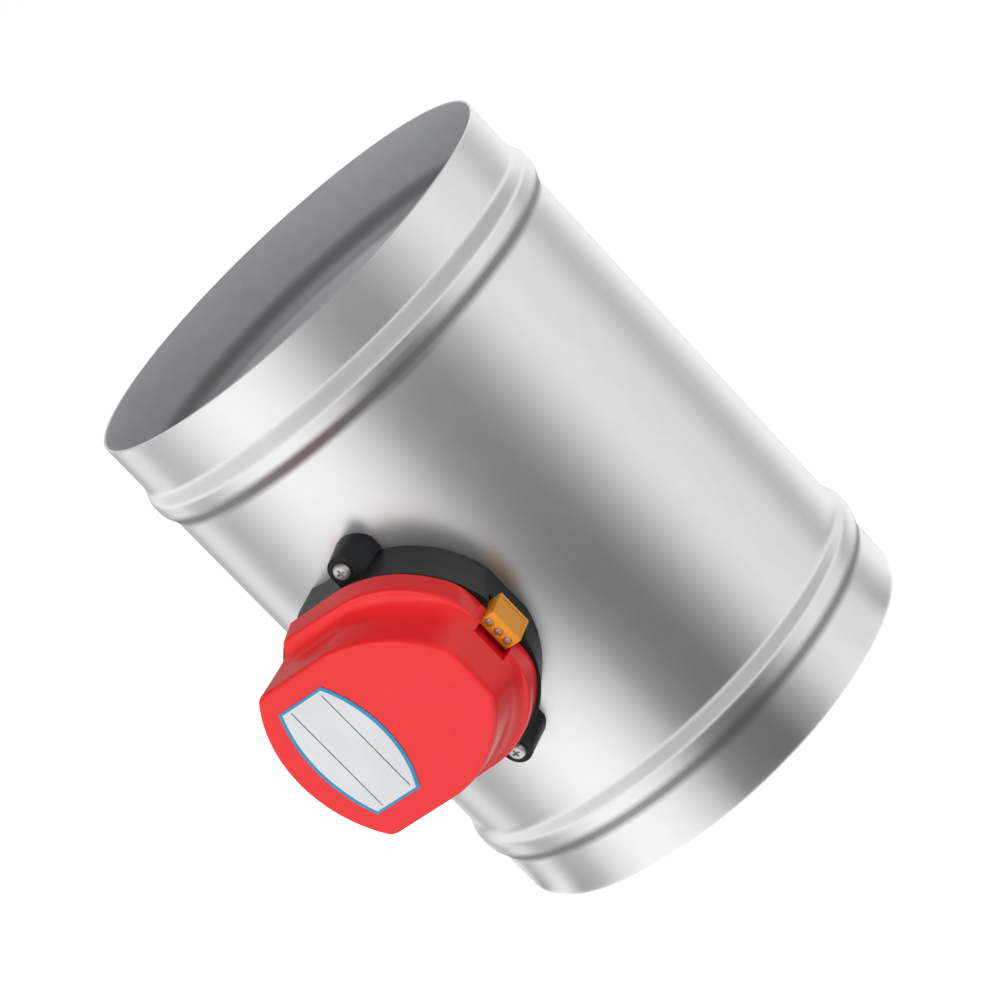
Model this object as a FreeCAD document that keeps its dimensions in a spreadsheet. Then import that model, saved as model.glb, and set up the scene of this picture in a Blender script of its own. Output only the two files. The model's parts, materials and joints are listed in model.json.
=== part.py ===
# Volume control damper: a round duct casing with a pivoting blade and a geared electric actuator.
# Millimetres. The duct axis is Z, the blade shaft lies along Y, the actuator sits on the -Y side.
import FreeCAD, Part
import math
import os
import Sketcher

Vector = FreeCAD.Vector
Rotation = FreeCAD.Rotation

doc = FreeCAD.newDocument("VolumeControlDamper")
sheet = doc.addObject("Spreadsheet::Sheet", "Sizes")

sizes = {
    # casing
    "casingDia": 149, "casingLen": 194, "sheetGauge": 0.8,
    "beadOffset": 17.5, "beadSlope": 4.2, "beadCrest": 4.6, "beadHeight": 2,
    # shaft and its two bushes
    "shaftDia": 8, "runningFit": 0.05, "seatFit": 0.05, "bushDia": 12, "bushFlangeDia": 17,
    "bushFlangeThick": 1.8, "washerDia": 14, "washerThick": 0.8, "endPlay": 0.2,
    "clipDia": 13, "clipThick": 0.8, "clipGrooveDia": 6.4, "clipMouth": 5.6, "shaftTail": 2.2,
    "shaftFlat": 3, "shaftRecess": 0.5,
    # blade
    "bladeGap": 0.5, "sealThick": 3, "sealWidth": 12, "sealLip": 1.7, "plateGauge": 0.8,
    "rivetInset": 5.5, "rivetDia": 3.2, "rivetHeadDia": 6.2, "rivetHeadHeight": 1.2, "rivetCount": 8,
    "rivetCrownShare": 0.45,
    "bladeBoltPitch": 68, "bladeBoltDia": 4, "bladeBoltHeadDia": 8.1, "bladeBoltHeadHeight": 2.8,
    "bladeNutHeight": 3.2, "boltFit": 0.1,
    # actuator levels, measured outward from the duct wall
    "footLevel": -16.5, "baseTop": 17.7, "ledgeLevel": 25, "faceLevel": 37.6,
    # actuator base, where it stands on the duct and at its top
    "footSide": 33, "footCorner": 22, "footShoulder": 0, "footFlat": 25.5, "footFlatSide": 9,
    "footNose": 31, "footBack": 39,
    "baseSide": 34, "baseCorner": 24.5, "baseShoulder": 0, "baseFlat": 33, "baseFlatSide": 8.2,
    "baseNose": 34, "baseBack": 42.2, "baseWall": 2, "floorThick": 2.5,
    "coverSeatDepth": 3.8, "coverSeatHalf": 11, "notchRelief": 1.6,
    # ears of the base and their screws
    "earPitch": 74.5, "earTop": 11.4, "earTopHalf": 4.7, "earFootHalf": 8, "earFootArc": 9.07,
    "earFootLevel": -3.5, "earScrewDia": 2.9, "earScrewLen": 13.6,
    "earScrewHeadDia": 5.2, "earScrewHeadHeight": 1.9,
    # cover: flange, ledge, foot of the head and face
    "flangeSide": 33.8, "flangeCorner": 22, "flangeShoulder": 0, "flangeFlat": 30.6,
    "flangeFlatSide": 14.3, "flangeNose": 33.8, "flangeBack": 41,
    "ledgeSide": 33, "ledgeCorner": 22, "ledgeShoulder": 0, "ledgeFlat": 30.6,
    "ledgeFlatSide": 12.3, "ledgeNose": 33, "ledgeBack": 41,
    "headSide": 29.2, "headCorner": 26.9, "headShoulder": 0, "headFlat": 30.6,
    "headFlatSide": 10.4, "headNose": 50, "headBack": 41.1,
    "faceSide": 28, "faceCorner": 34.5, "faceShoulder": 2, "faceFlat": 27,
    "faceFlatSide": 8, "faceNose": 44, "faceBack": 42.6,
    "coverWall": 1.6, "faceRound": 0.7,
    "tongueWidth": 6, "tongueThick": 1.2, "tongueReach": 5, "tongueGap": 0.2,
    "tongueNear": 5, "tongueFar": 16, "tongueRootDepth": 0.3,
    # label plate on the face
    "labelHalf": 20.8, "labelNear": 14.8, "labelFar": 32.3, "labelNearArc": 38.9, "labelFarArc": 47.9,
    "labelThick": 0.3,
    # screwdriver recess in the cover above the terminal block
    "recessDepth": 1.7, "recessHeight": 5.4, "recessWall": 1.2, "terminalGap": 0.3,
    # terminal block
    "terminalInner": 28.8, "terminalDepth": 5.8, "terminalWidth": 11.6, "terminalLow": 12.5,
    "terminalHeight": 9.9, "terminalPitch": 3.81, "terminalScrewDia": 2.5, "terminalWellDia": 2.9,
    "terminalWellDepth": 0.9, "terminalScrewInset": 2.3, "terminalScrewLen": 5,
    "terminalShankDia": 1.5, "terminalHeadHeight": 0.7, "terminalSlotWidth": 0.4, "terminalSlotDepth": 0.4,
    "terminalFoot": 4.2, "terminalFootHeight": 4.6, "pinWide": 0.9, "pinLen": 4.2, "pinSeat": 2,
    "panelInset": 0.25, "panelMargin": 1, "panelTopMargin": 2.5,
    # gears: output gear, intermediate wheel and pinion, motor pinion
    "slowModule": 0.8, "outputTeeth": 48, "smallTeeth": 12, "fastModule": 0.6, "wheelTeeth": 40,
    "motorTeeth": 10, "backlash": 0.16, "outputLow": 6.5, "outputWidth": 4, "wheelLow": 11.5,
    "wheelWidth": 3, "smallOverlap": 0.8, "motorPinionLow": 11.2, "motorPinionWidth": 3.6,
    "hubDia": 14, "hubTop": 15.5, "webHoleCount": 6, "webHoleDia": 5.6, "webHoleCircle": 24.08,
    "spindleDia": 3, "motorShaftDia": 2, "motorAngle": 50,
    "stopInner": 13, "stopOuter": 17, "stopHeight": 1.4, "stopHalfAngle": 10, "stopRibHalfAngle": 6,
    "stopRibGap": 0.2, "stopPlayAngle": 1, "bladeSwing": 90,
    # gear plate, posts and motor
    "gearPlateLow": 16.5, "gearPlateGauge": 1, "gearPlateNear": 11.5, "gearPlateReach": 37.5,
    "gearPlateHalf": 27, "hubHoleDia": 18, "postDia": 5, "farPostX": 27, "farPostU": 22,
    "nearPostX": 4, "nearPostU": 25, "screwDia": 2, "screwLen": 6, "screwHeadDia": 3.8,
    "screwHeadHeight": 1.5, "spindleBossDia": 7, "spindleBossTop": 5.3, "spindleSeat": 3,
    "spindleEnd": 0.5, "motorDia": 22, "motorHeight": 12, "motorCollarDia": 7, "motorShaftSeat": 2.8,
    "motorSeamHeight": 0.8, "motorSeamStep": 0.4,
    "motorEarSpan": 29, "motorEarWidth": 6, "motorEarThick": 0.8,
    # circuit board
    "boardLow": 10.8, "boardThick": 1.6, "boardInner": 10.5, "boardReach": 28.6, "boardPostX": 17,
    "boardPostU": 21, "boardPostDia": 4.4, "capacitorDia": 8, "capacitorHeight": 9,
    "capacitorX": 17.5, "capacitorU": 11, "relayX": 16.7, "relayU": -9, "relayLen": 11, "relayWide": 7.5,
    "relayHeight": 8, "chipX": 15, "chipU": 1, "chipLen": 5, "chipHeight": 1.5,
    # proportions of a pan head and its cross recess
    "headRimShare": 0.4, "headCrownShare": 0.68, "crossReachShare": 0.54, "crossWidthShare": 0.14,
    "crossDepthShare": 0.55,
    # length of the hole tools through thin plates, and how far below the plate they start
    "drillLen": 5, "drillLead": 2,
    # retaining screw and washer at the end of the shaft
    "hubScrewDia": 3, "hubScrewLen": 8, "hubScrewHeadDia": 5.6, "hubScrewHeadHeight": 1.9,
    "hubWasherDia": 10, "hubWasherThick": 0.6,
}
for row, (alias, number) in enumerate(sizes.items(), start=1):
    sheet.set(f"A{row}", alias)
    sheet.set(f"B{row}", str(number))
    sheet.setAlias(f"B{row}", alias)
doc.recompute()

ductRadius = "(Sizes.casingDia / 2)"
boreRadius = "(Sizes.casingDia / 2 - Sizes.sheetGauge)"
sealRadius = "(Sizes.casingDia / 2 - Sizes.sheetGauge - Sizes.bladeGap)"
plateRadius = f"({sealRadius} - Sizes.sealLip)"
rivetX = f"({plateRadius} - Sizes.rivetInset)"
middle = "(Sizes.casingLen / 2)"
shaftRadius = "(Sizes.shaftDia / 2)"
slotRadius = "(Sizes.shaftDia / 2 + Sizes.seatFit)"
crestRadius = f"({slotRadius} + Sizes.plateGauge)"
bushTop = f"({ductRadius} + Sizes.bushFlangeThick)"
wheelDistance = "(Sizes.slowModule * (Sizes.outputTeeth + Sizes.smallTeeth) / 2)"
motorDistance = "(Sizes.fastModule * (Sizes.wheelTeeth + Sizes.motorTeeth) / 2)"
motorX = f"({motorDistance} * cos(Sizes.motorAngle * 1 deg) - {wheelDistance})"
motorU = f"({motorDistance} * sin(Sizes.motorAngle * 1 deg))"
plateTop = "(Sizes.gearPlateLow + Sizes.gearPlateGauge)"
boardTop = "(Sizes.boardLow + Sizes.boardThick)"
nodes = []


def value(alias):
    return float(sheet.get(alias))


# Helpers for primitives and booleans

def bind(piece, expressions):
    for name, expression in expressions.items():
        piece.setExpression(name, expression)
    return piece


def place(piece, x="0", y="0", z="0", turn=None):
    if turn:
        piece.Placement = FreeCAD.Placement(Vector(), Rotation(*turn))
    return bind(piece, {"Placement.Base.x": x, "Placement.Base.y": y, "Placement.Base.z": z})


def cylinder(name, radius, height, x="0", y="0", z="0", turn=None):
    piece = doc.addObject("Part::Cylinder", name)
    bind(piece, {"Radius": radius, "Height": height})
    return place(piece, x, y, z, turn)


def cone(name, lowRadius, topRadius, height, x="0", y="0", z="0", turn=None):
    piece = doc.addObject("Part::Cone", name)
    bind(piece, {"Radius1": lowRadius, "Radius2": topRadius, "Height": height})
    return place(piece, x, y, z, turn)


def prism(name, radius, height, x="0", y="0", z="0"):
    piece = doc.addObject("Part::Prism", name)
    piece.Polygon = 6
    bind(piece, {"Circumradius": radius, "Height": height})
    return place(piece, x, y, z)


def box(name, xSpan, ySpan, zSpan, turn=None):
    piece = doc.addObject("Part::Box", name)
    spans = (xSpan, ySpan, zSpan)
    for side, (low, high) in zip(("Length", "Width", "Height"), spans):
        piece.setExpression(side, f"({high}) - ({low})")
    return place(piece, xSpan[0], ySpan[0], zSpan[0], turn)


def drill(name, radius, level, x="0", u="0"):
    # Hole tool through a thin plate that lies at the given level.
    return cylinder(name, radius, "Sizes.drillLen", x, u, f"{level} - Sizes.drillLead")


def around(centre, half):
    return (f"({centre}) - ({half})", f"({centre}) + ({half})")


def cut(name, base, tool):
    piece = doc.addObject("Part::Cut", name)
    piece.Base = base
    piece.Tool = tool
    return piece


def fuse(name, shapes):
    piece = doc.addObject("Part::MultiFuse", name)
    piece.Shapes = shapes
    return piece


def common(name, shapes):
    piece = doc.addObject("Part::MultiCommon", name)
    piece.Shapes = shapes
    return piece


def group(name, shapes):
    piece = doc.addObject("Part::Compound", name)
    piece.Links = shapes
    return piece


def mirror(name, source, normal):
    piece = doc.addObject("Part::Mirroring", name)
    piece.Source = source
    piece.Normal = normal
    return piece


def keep(piece, label):
    piece.Label = label
    nodes.append(piece)
    return piece


def onActuator(piece, x="0", u="0"):
    # Actuator pieces are drawn with X across, Y up the duct and Z outward from the duct wall.
    piece.Placement = FreeCAD.Placement(Vector(), Rotation(Vector(1, 0, 0), 90))
    return place(piece, x, f"-{ductRadius}", f"{middle} + ({u})")


alongY = (Vector(1, 0, 0), -90)
alongX = (Vector(0, 1, 0), 90)


# Helpers for bodies and sketches

def originFeature(body, role):
    for feature in body.Origin.OriginFeatures:
        if feature.Role == role:
            return feature


def newBody(name):
    return doc.addObject("PartDesign::Body", name)


def newSketch(body, name, role="XY_Plane", lift="0"):
    sketch = body.newObject("Sketcher::SketchObject", name)
    sketch.AttachmentSupport = [(originFeature(body, role), "")]
    sketch.MapMode = "FlatFace"
    sketch.setExpression("AttachmentOffset.Base.z", lift)
    return sketch


def dimension(sketch, kind, where, rough, expression):
    index = sketch.addConstraint(Sketcher.Constraint(kind, *where, float(rough)))
    sketch.setExpression(f"Constraints[{index}]", expression)


def outline(sketch, rough, exact, bulges=None, radii=None):
    # Closed outline: corners drawn roughly, then pulled to their exact places and arc radii.
    bulges = bulges or {}
    count = len(rough)
    first = sketch.GeometryCount
    for i in range(count):
        start = Vector(*rough[i], 0)
        end = Vector(*rough[(i + 1) % count], 0)
        if i in bulges:
            sketch.addGeometry(Part.Arc(start, Vector(*bulges[i], 0), end))
        else:
            sketch.addGeometry(Part.LineSegment(start, end))
    for i in range(count):
        after = first + (i + 1) % count
        sketch.addConstraint(Sketcher.Constraint("Coincident", first + i, 2, after, 1))
    for i, (x, y) in enumerate(exact):
        dimension(sketch, "DistanceX", (-1, 1, first + i, 1), rough[i][0], x)
        dimension(sketch, "DistanceY", (-1, 1, first + i, 1), rough[i][1], y)
    for i, radius in (radii or {}).items():
        dimension(sketch, "Radius", (first + i,), sketch.Geometry[first + i].Radius, radius)


def circle(sketch, radius):
    index = sketch.addGeometry(Part.Circle(Vector(), Vector(0, 0, 1), 10))
    sketch.addConstraint(Sketcher.Constraint("Coincident", index, 3, -1, 1))
    dimension(sketch, "Radius", (index,), 10, radius)


def extrude(body, kind, name, sketch, length):
    feature = body.newObject(f"PartDesign::{kind}", name)
    feature.Profile = sketch
    feature.setExpression("Length", length)
    return feature


def loft(body, name, low, high):
    feature = body.newObject("PartDesign::AdditiveLoft", name)
    feature.Profile = low
    feature.Sections = [high]
    feature.Ruled = True
    return feature


# Outlines of the actuator: straight sides, a rounded nose with a small flat and an arched back

outlineKeys = ("Side", "Corner", "Shoulder", "Flat", "FlatSide", "Nose", "Back")


def named(prefix):
    return {key: f"Sizes.{prefix}{key}" for key in outlineKeys}


def between(low, high, share):
    return {key: f"({low[key]} + ({high[key]} - {low[key]}) * {share})" for key in outlineKeys}


def inset(shape, wall):
    inner = {key: f"({shape[key]} - {wall})" for key in ("Side", "Corner", "Flat", "Nose", "Back")}
    inner["Shoulder"] = shape["Shoulder"]
    inner["FlatSide"] = f"({shape['FlatSide']} - {wall} / 2)"
    return inner


def housingOutline(sketch, shape):
    rough = [(30, -10), (30, 10), (0, 30), (-30, 30), (-30, -30), (0, -30)]
    bulges = {1: (19, 24), 3: (-42, 0), 5: (19, -24)}
    exact = [
        (shape["Flat"], f"-{shape['FlatSide']}"),
        (shape["Flat"], shape["FlatSide"]),
        (f"-{shape['Shoulder']}", shape["Side"]),
        (f"-{shape['Corner']}", shape["Side"]),
        (f"-{shape['Corner']}", f"-{shape['Side']}"),
        (f"-{shape['Shoulder']}", f"-{shape['Side']}"),
    ]
    outline(sketch, rough, exact, bulges, {1: shape["Nose"], 3: shape["Back"], 5: shape["Nose"]})


def housing(body, name, lowShape, highShape, lowLevel, highLevel):
    low = newSketch(body, f"{name}Low", lift=lowLevel)
    housingOutline(low, lowShape)
    high = newSketch(body, f"{name}High", lift=highLevel)
    housingOutline(high, highShape)
    return loft(body, f"{name}Loft", low, high)


# Fasteners

def panScrew(name, prefix, seat, x="0", u="0"):
    # Pan head screw with a cross recess, its shank pointing down from the seat level.
    headRadius = f"Sizes.{prefix}HeadDia / 2"
    headHeight = f"Sizes.{prefix}HeadHeight"
    top = f"{seat} + {headHeight}"
    shank = cylinder(f"{name}Shank", f"Sizes.{prefix}Dia / 2", f"Sizes.{prefix}Len", x, u,
                     f"{seat} - Sizes.{prefix}Len")
    rimHeight = f"{headHeight} * Sizes.headRimShare"
    rim = cylinder(f"{name}Rim", headRadius, rimHeight, x, u, seat)
    dome = cone(f"{name}Dome", headRadius, f"{headRadius} * Sizes.headCrownShare",
                f"{headHeight} * (1 - Sizes.headRimShare)", x, u, f"{seat} + {rimHeight}")
    arm = f"{headRadius} * Sizes.crossReachShare"
    slot = f"{headRadius} * Sizes.crossWidthShare"
    deep = (f"{top} - {headHeight} * Sizes.crossDepthShare", f"{top} + 1")
    across = box(f"{name}Across", around(x, arm), around(u, slot), deep)
    along = box(f"{name}Along", around(x, slot), around(u, arm), deep)
    solid = fuse(f"{name}Solid", [shank, rim, dome])
    return cut(name, solid, fuse(f"{name}Cross", [across, along]))


# Casing

def casing():
    body = newBody("CasingTube")
    sketch = newSketch(body, "CasingProfile", role="XZ_Plane")
    stations = ["0", "Sizes.beadOffset", "Sizes.beadOffset + Sizes.beadSlope",
                "Sizes.beadOffset + Sizes.beadSlope + Sizes.beadCrest",
                "Sizes.beadOffset + 2 * Sizes.beadSlope + Sizes.beadCrest"]
    crest = f"{ductRadius} + Sizes.beadHeight"
    radii = [ductRadius, ductRadius, crest, crest, ductRadius]
    lower = list(zip(radii, stations))
    upper = [(radius, f"Sizes.casingLen - ({height})") for radius, height in reversed(lower)]
    exact = [("0", "0")] + lower + upper + [("0", "Sizes.casingLen")]
    roughRadii = [70, 70, 72, 72, 70]
    roughHeights = [0, 20, 24, 28, 32]
    roughLower = list(zip(roughRadii, roughHeights))
    roughUpper = [(radius, 200 - height) for radius, height in reversed(roughLower)]
    outline(sketch, [(0, 0)] + roughLower + roughUpper + [(0, 200)], exact)
    turned = body.newObject("PartDesign::Revolution", "CasingRevolution")
    turned.Profile = sketch
    turned.ReferenceAxis = (sketch, ["V_Axis"])
    turned.Angle = 360
    doc.recompute()
    ends = [f"Face{i}" for i, face in enumerate(turned.Shape.Faces, start=1)
            if isinstance(face.Surface, Part.Plane)]
    wall = body.newObject("PartDesign::Thickness", "CasingWall")
    wall.Base = (turned, ends)
    wall.Reversed = True
    wall.Join = 1
    wall.setExpression("Value", "Sizes.sheetGauge")
    holes = [cylinder("BushHoles", "Sizes.bushDia / 2 + Sizes.seatFit", "Sizes.casingDia + 10", "0",
                      "-Sizes.casingDia / 2 - 5", middle, alongY)]
    for side in (-1, 1):
        height = f"{middle} + {side} * Sizes.earPitch / 2"
        holes.append(cylinder("EarHole", "Sizes.earScrewDia / 2 + Sizes.seatFit", f"{ductRadius}", "0",
                              "-Sizes.casingDia / 2 - 5", height, alongY))
    return keep(cut("Casing", body, fuse("CasingHoles", holes)), "casing")


# Shaft, bushes, washer and clip

hubLow = "(Sizes.bushFlangeThick + Sizes.endPlay)"
shaftTop = f"({ductRadius} + Sizes.hubTop - Sizes.shaftRecess)"
idleWasherLow = f"({bushTop} + Sizes.endPlay / 2)"
clipLow = f"({bushTop} + Sizes.endPlay + Sizes.washerThick)"
shaftTailEnd = f"({clipLow} + Sizes.clipThick + Sizes.shaftTail)"


def shaft():
    rod = cylinder("ShaftRod", shaftRadius, f"{shaftTop} + {shaftTailEnd}", y=f"-{shaftTop}", turn=alongY)
    grooveWidth = "Sizes.clipThick + 2 * Sizes.seatFit"
    grooveLow = f"{clipLow} - Sizes.seatFit"
    groove = cylinder("GrooveOuter", f"{shaftRadius} + 1", grooveWidth, y=grooveLow, turn=alongY)
    core = cylinder("GrooveCore", "Sizes.clipGrooveDia / 2", grooveWidth, y=grooveLow, turn=alongY)
    flat = box("DriveFlat", ("Sizes.shaftFlat", "Sizes.shaftDia"),
               (f"-{shaftTop} - 1", f"-({ductRadius} + {hubLow}) + Sizes.endPlay / 2"),
               around("0", "Sizes.shaftDia"))
    tapped = cylinder("TappedHole", "Sizes.hubScrewDia / 2", "Sizes.hubScrewLen + 1", "0",
                      f"-{shaftTop} - 1", "0", alongY)
    tools = [cut("ClipGroove", groove, core), flat, tapped]
    for side in (-1, 1):
        tools.append(cylinder("BoltHole", "Sizes.bladeBoltDia / 2 + Sizes.boltFit", "Sizes.shaftDia + 2",
                              "0", f"{side} * Sizes.bladeBoltPitch / 2", f"-{shaftRadius} - 1"))
    solid = cut("DamperShaft", rod, fuse("ShaftCuts", tools))
    return keep(place(solid, z=middle), "damper_shaft")


def bush(name, label, side):
    # Flanged bush pushed through the casing wall, its flange curved to sit on the duct.
    inner = f"{boreRadius} + Sizes.seatFit"
    sleeve = cylinder(f"{name}Sleeve", "Sizes.bushDia / 2", f"{bushTop} - {inner}", z=inner)
    flange = cylinder(f"{name}Flange", "Sizes.bushFlangeDia / 2", "Sizes.bushFlangeThick + 2",
                      z=f"{ductRadius} - 2")
    duct = cylinder(f"{name}Duct", ductRadius, "2 * Sizes.bushFlangeDia", y="-Sizes.bushFlangeDia",
                    turn=alongY)
    seated = cut(f"{name}Seated", flange, duct)
    bore = cylinder(f"{name}Bore", f"{shaftRadius} + Sizes.runningFit", "Sizes.casingDia")
    solid = cut(name, fuse(f"{name}Solid", [sleeve, seated]), bore)
    solid.Placement = FreeCAD.Placement(Vector(), Rotation(Vector(1, 0, 0), 90 * side))
    solid.setExpression("Placement.Base.z", middle)
    return keep(solid, label)


def washer():
    ring = cylinder("WasherDisc", "Sizes.washerDia / 2", "Sizes.washerThick", y=idleWasherLow, turn=alongY)
    hole = cylinder("WasherHole", f"{shaftRadius} + 3 * Sizes.runningFit", "Sizes.washerThick + 2", "0",
                    f"{idleWasherLow} - 1", "0", alongY)
    return keep(place(cut("ThrustWasher", ring, hole), z=middle), "thrust_washer")


def shaftClip():
    # Open retaining clip: a ring with a mouth on its upper side.
    ring = cylinder("ClipDisc", "Sizes.clipDia / 2", "Sizes.clipThick", "0", clipLow, "0", alongY)
    hole = cylinder("ClipHole", "Sizes.clipGrooveDia / 2 + Sizes.runningFit", "Sizes.clipThick + 2", "0",
                    f"{clipLow} - 1", "0", alongY)
    mouth = box("ClipMouth", around("0", "Sizes.clipMouth / 2"),
                (f"{clipLow} - 1", f"{clipLow} + Sizes.clipThick + 1"), ("0", "Sizes.clipDia"))
    solid = cut("ShaftClip", ring, fuse("ClipCuts", [hole, mouth]))
    return keep(place(solid, z=middle), "shaft_clip")


# Blade: two plates with a half-round channel for the shaft, a seal ring between them

def bladePlate(name, label, flip):
    disc = cylinder(f"{name}Disc", plateRadius, "Sizes.plateGauge", z="Sizes.sealThick / 2")
    reach = cylinder(f"{name}Reach", plateRadius, f"{crestRadius} + 1", z="Sizes.sealThick / 2")
    ridge = cylinder(f"{name}Ridge", crestRadius, f"2 * {plateRadius}", "0", f"-{plateRadius}", "0", alongY)
    channel = cylinder(f"{name}Channel", slotRadius, f"2 * {plateRadius} + 2", "0",
                       f"-{plateRadius} - 1", "0", alongY)
    tools = [channel]
    for side in (-1, 1):
        tools.append(cylinder(f"{name}BoltHole", "Sizes.bladeBoltDia / 2 + Sizes.boltFit", "Sizes.shaftDia",
                              "0", f"{side} * Sizes.bladeBoltPitch / 2"))
    for turn in rivetAngles():
        hole = cylinder(f"{name}RivetHole", "Sizes.rivetDia / 2 + Sizes.seatFit", "Sizes.shaftDia",
                        rivetX)
        tools.append(turned(f"{name}RivetPlace", hole, turn))
    solid = fuse(f"{name}Solid", [disc, common(f"{name}Swage", [reach, ridge])])
    plate = cut(name, solid, fuse(f"{name}Cuts", tools))
    if flip:
        plate.Placement = FreeCAD.Placement(Vector(), Rotation(Vector(0, 1, 0), 180))
    plate.setExpression("Placement.Base.z", middle)
    return keep(plate, label)


def rivetAngles():
    count = int(value("rivetCount"))
    return [(k + 0.5) * 360 / count for k in range(count)]


def turned(name, piece, angle):
    # The piece turned about the blade's own axis.
    holder = doc.addObject("Part::Compound", name)
    holder.Links = [piece]
    holder.Placement = FreeCAD.Placement(Vector(), Rotation(Vector(0, 0, 1), angle))
    return holder


def bladeSeal():
    low = "-Sizes.sealThick / 2"
    ring = cylinder("SealDisc", sealRadius, "Sizes.sealThick", z=low)
    sealBore = f"{sealRadius} - Sizes.sealWidth"
    centreHole = cylinder("SealHole", sealBore, "2 * Sizes.sealThick", z=f"2 * {low}")
    slot = cylinder("SealSlot", slotRadius, "Sizes.casingDia", y="-Sizes.casingDia / 2", turn=alongY)
    tools = [centreHole, slot]
    for turn in rivetAngles():
        hole = cylinder("SealRivetHole", "Sizes.rivetDia / 2 + Sizes.seatFit", "Sizes.sealThick + 2",
                        rivetX, "0", f"{low} - 1")
        tools.append(turned("SealRivetPlace", hole, turn))
    return keep(place(cut("BladeSeal", ring, fuse("SealCuts", tools)), z=middle), "blade_seal")


def bladeRivets():
    face = "Sizes.sealThick / 2 + Sizes.plateGauge"
    headRadius = "Sizes.rivetHeadDia / 2"
    crownRadius = f"{headRadius} * Sizes.rivetCrownShare"
    rivets = []
    for turn in rivetAngles():
        shank = cylinder("RivetShank", "Sizes.rivetDia / 2", f"2 * ({face})", rivetX, "0", f"-({face})")
        top = cone("RivetTop", headRadius, crownRadius, "Sizes.rivetHeadHeight", rivetX, "0", face)
        low = cone("RivetLow", crownRadius, headRadius, "Sizes.rivetHeadHeight", rivetX, "0",
                   f"-({face}) - Sizes.rivetHeadHeight")
        rivets.append(turned("RivetPlace", fuse("Rivet", [shank, top, low]), turn))
    return keep(place(group("BladeRivets", rivets), z=middle), "blade_rivets")


def bladeBolts():
    bolts = []
    nuts = []
    radius = "Sizes.bladeBoltDia / 2"
    for side in (-1, 1):
        y = f"{side} * Sizes.bladeBoltPitch / 2"
        tail = f"({crestRadius} + Sizes.bladeNutHeight + 1)"
        shank = cylinder("BoltShank", radius, f"{crestRadius} + {tail}", "0", y, f"-{tail}")
        head = prism("BoltHead", "Sizes.bladeBoltHeadDia / 2", "Sizes.bladeBoltHeadHeight", "0", y,
                     crestRadius)
        bolts.append(fuse("BladeBolt", [shank, head]))
        nut = prism("NutBlank", "Sizes.bladeBoltHeadDia / 2", "Sizes.bladeNutHeight", "0", y,
                    f"-{crestRadius} - Sizes.bladeNutHeight")
        hole = cylinder("NutHole", radius, "3 * Sizes.bladeNutHeight", "0", y,
                        f"-{crestRadius} - 2 * Sizes.bladeNutHeight")
        nuts.append(cut("BladeNut", nut, hole))
    keep(place(group("BladeBolts", bolts), z=middle), "blade_bolts")
    keep(place(group("BladeNuts", nuts), z=middle), "blade_nuts")


# Actuator base: a tapered tray with a saddle underside, two screw ears and inner posts

postPlaces = [("-Sizes.farPostX", "Sizes.farPostU"), ("-Sizes.farPostX", "-Sizes.farPostU"),
              ("Sizes.nearPostX", "Sizes.nearPostU"), ("Sizes.nearPostX", "-Sizes.nearPostU")]
boardPostPlaces = [("Sizes.boardPostX", "Sizes.boardPostU"), ("Sizes.boardPostX", "-Sizes.boardPostU")]


def earOutline(sketch, half, reach, arc):
    root = "Sizes.baseSide - Sizes.baseWall / 2"
    rough = [(6, 33), (6, 38), (-6, 38), (-6, 33)]
    exact = [(half, root), (half, reach), (f"-{half}", reach), (f"-{half}", root)]
    outline(sketch, rough, exact, {1: (0, 43)}, {1: arc})


def ear():
    body = newBody("EarBody")
    centre = "Sizes.earPitch / 2"
    foot = newSketch(body, "EarFoot", lift="Sizes.earFootLevel")
    earOutline(foot, "Sizes.earFootHalf", centre, "Sizes.earFootArc")
    top = newSketch(body, "EarTop", lift="Sizes.earTop")
    earOutline(top, "Sizes.earTopHalf * 0.999", centre, "Sizes.earTopHalf")
    loft(body, "EarLoft", foot, top)
    return body


def stopPiece(name, halfAngle, low, high, angle):
    # Sector between the stop radii, centred on the given angle.
    ring = cut(f"{name}Ring", cylinder(f"{name}Outer", "Sizes.stopOuter", f"({high}) - ({low})", z=low),
               cylinder(f"{name}Inner", "Sizes.stopInner", f"({high}) - ({low}) + 2", z=f"{low} - 1"))
    wedge = doc.addObject("Part::Cylinder", f"{name}Wedge")
    bind(wedge, {"Radius": "Sizes.stopOuter + 1", "Height": f"({high}) - ({low})",
                 "Angle": f"2 * {halfAngle}", "Placement.Base.z": low,
                 "Placement.Rotation.Angle": f"({angle} - {halfAngle}) * 1 deg"})
    return common(name, [ring, wedge])


lugAngle = "(180 + Sizes.bladeSwing / 2)"
ribShift = "(Sizes.stopHalfAngle + Sizes.stopRibHalfAngle + Sizes.stopPlayAngle)"


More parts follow.
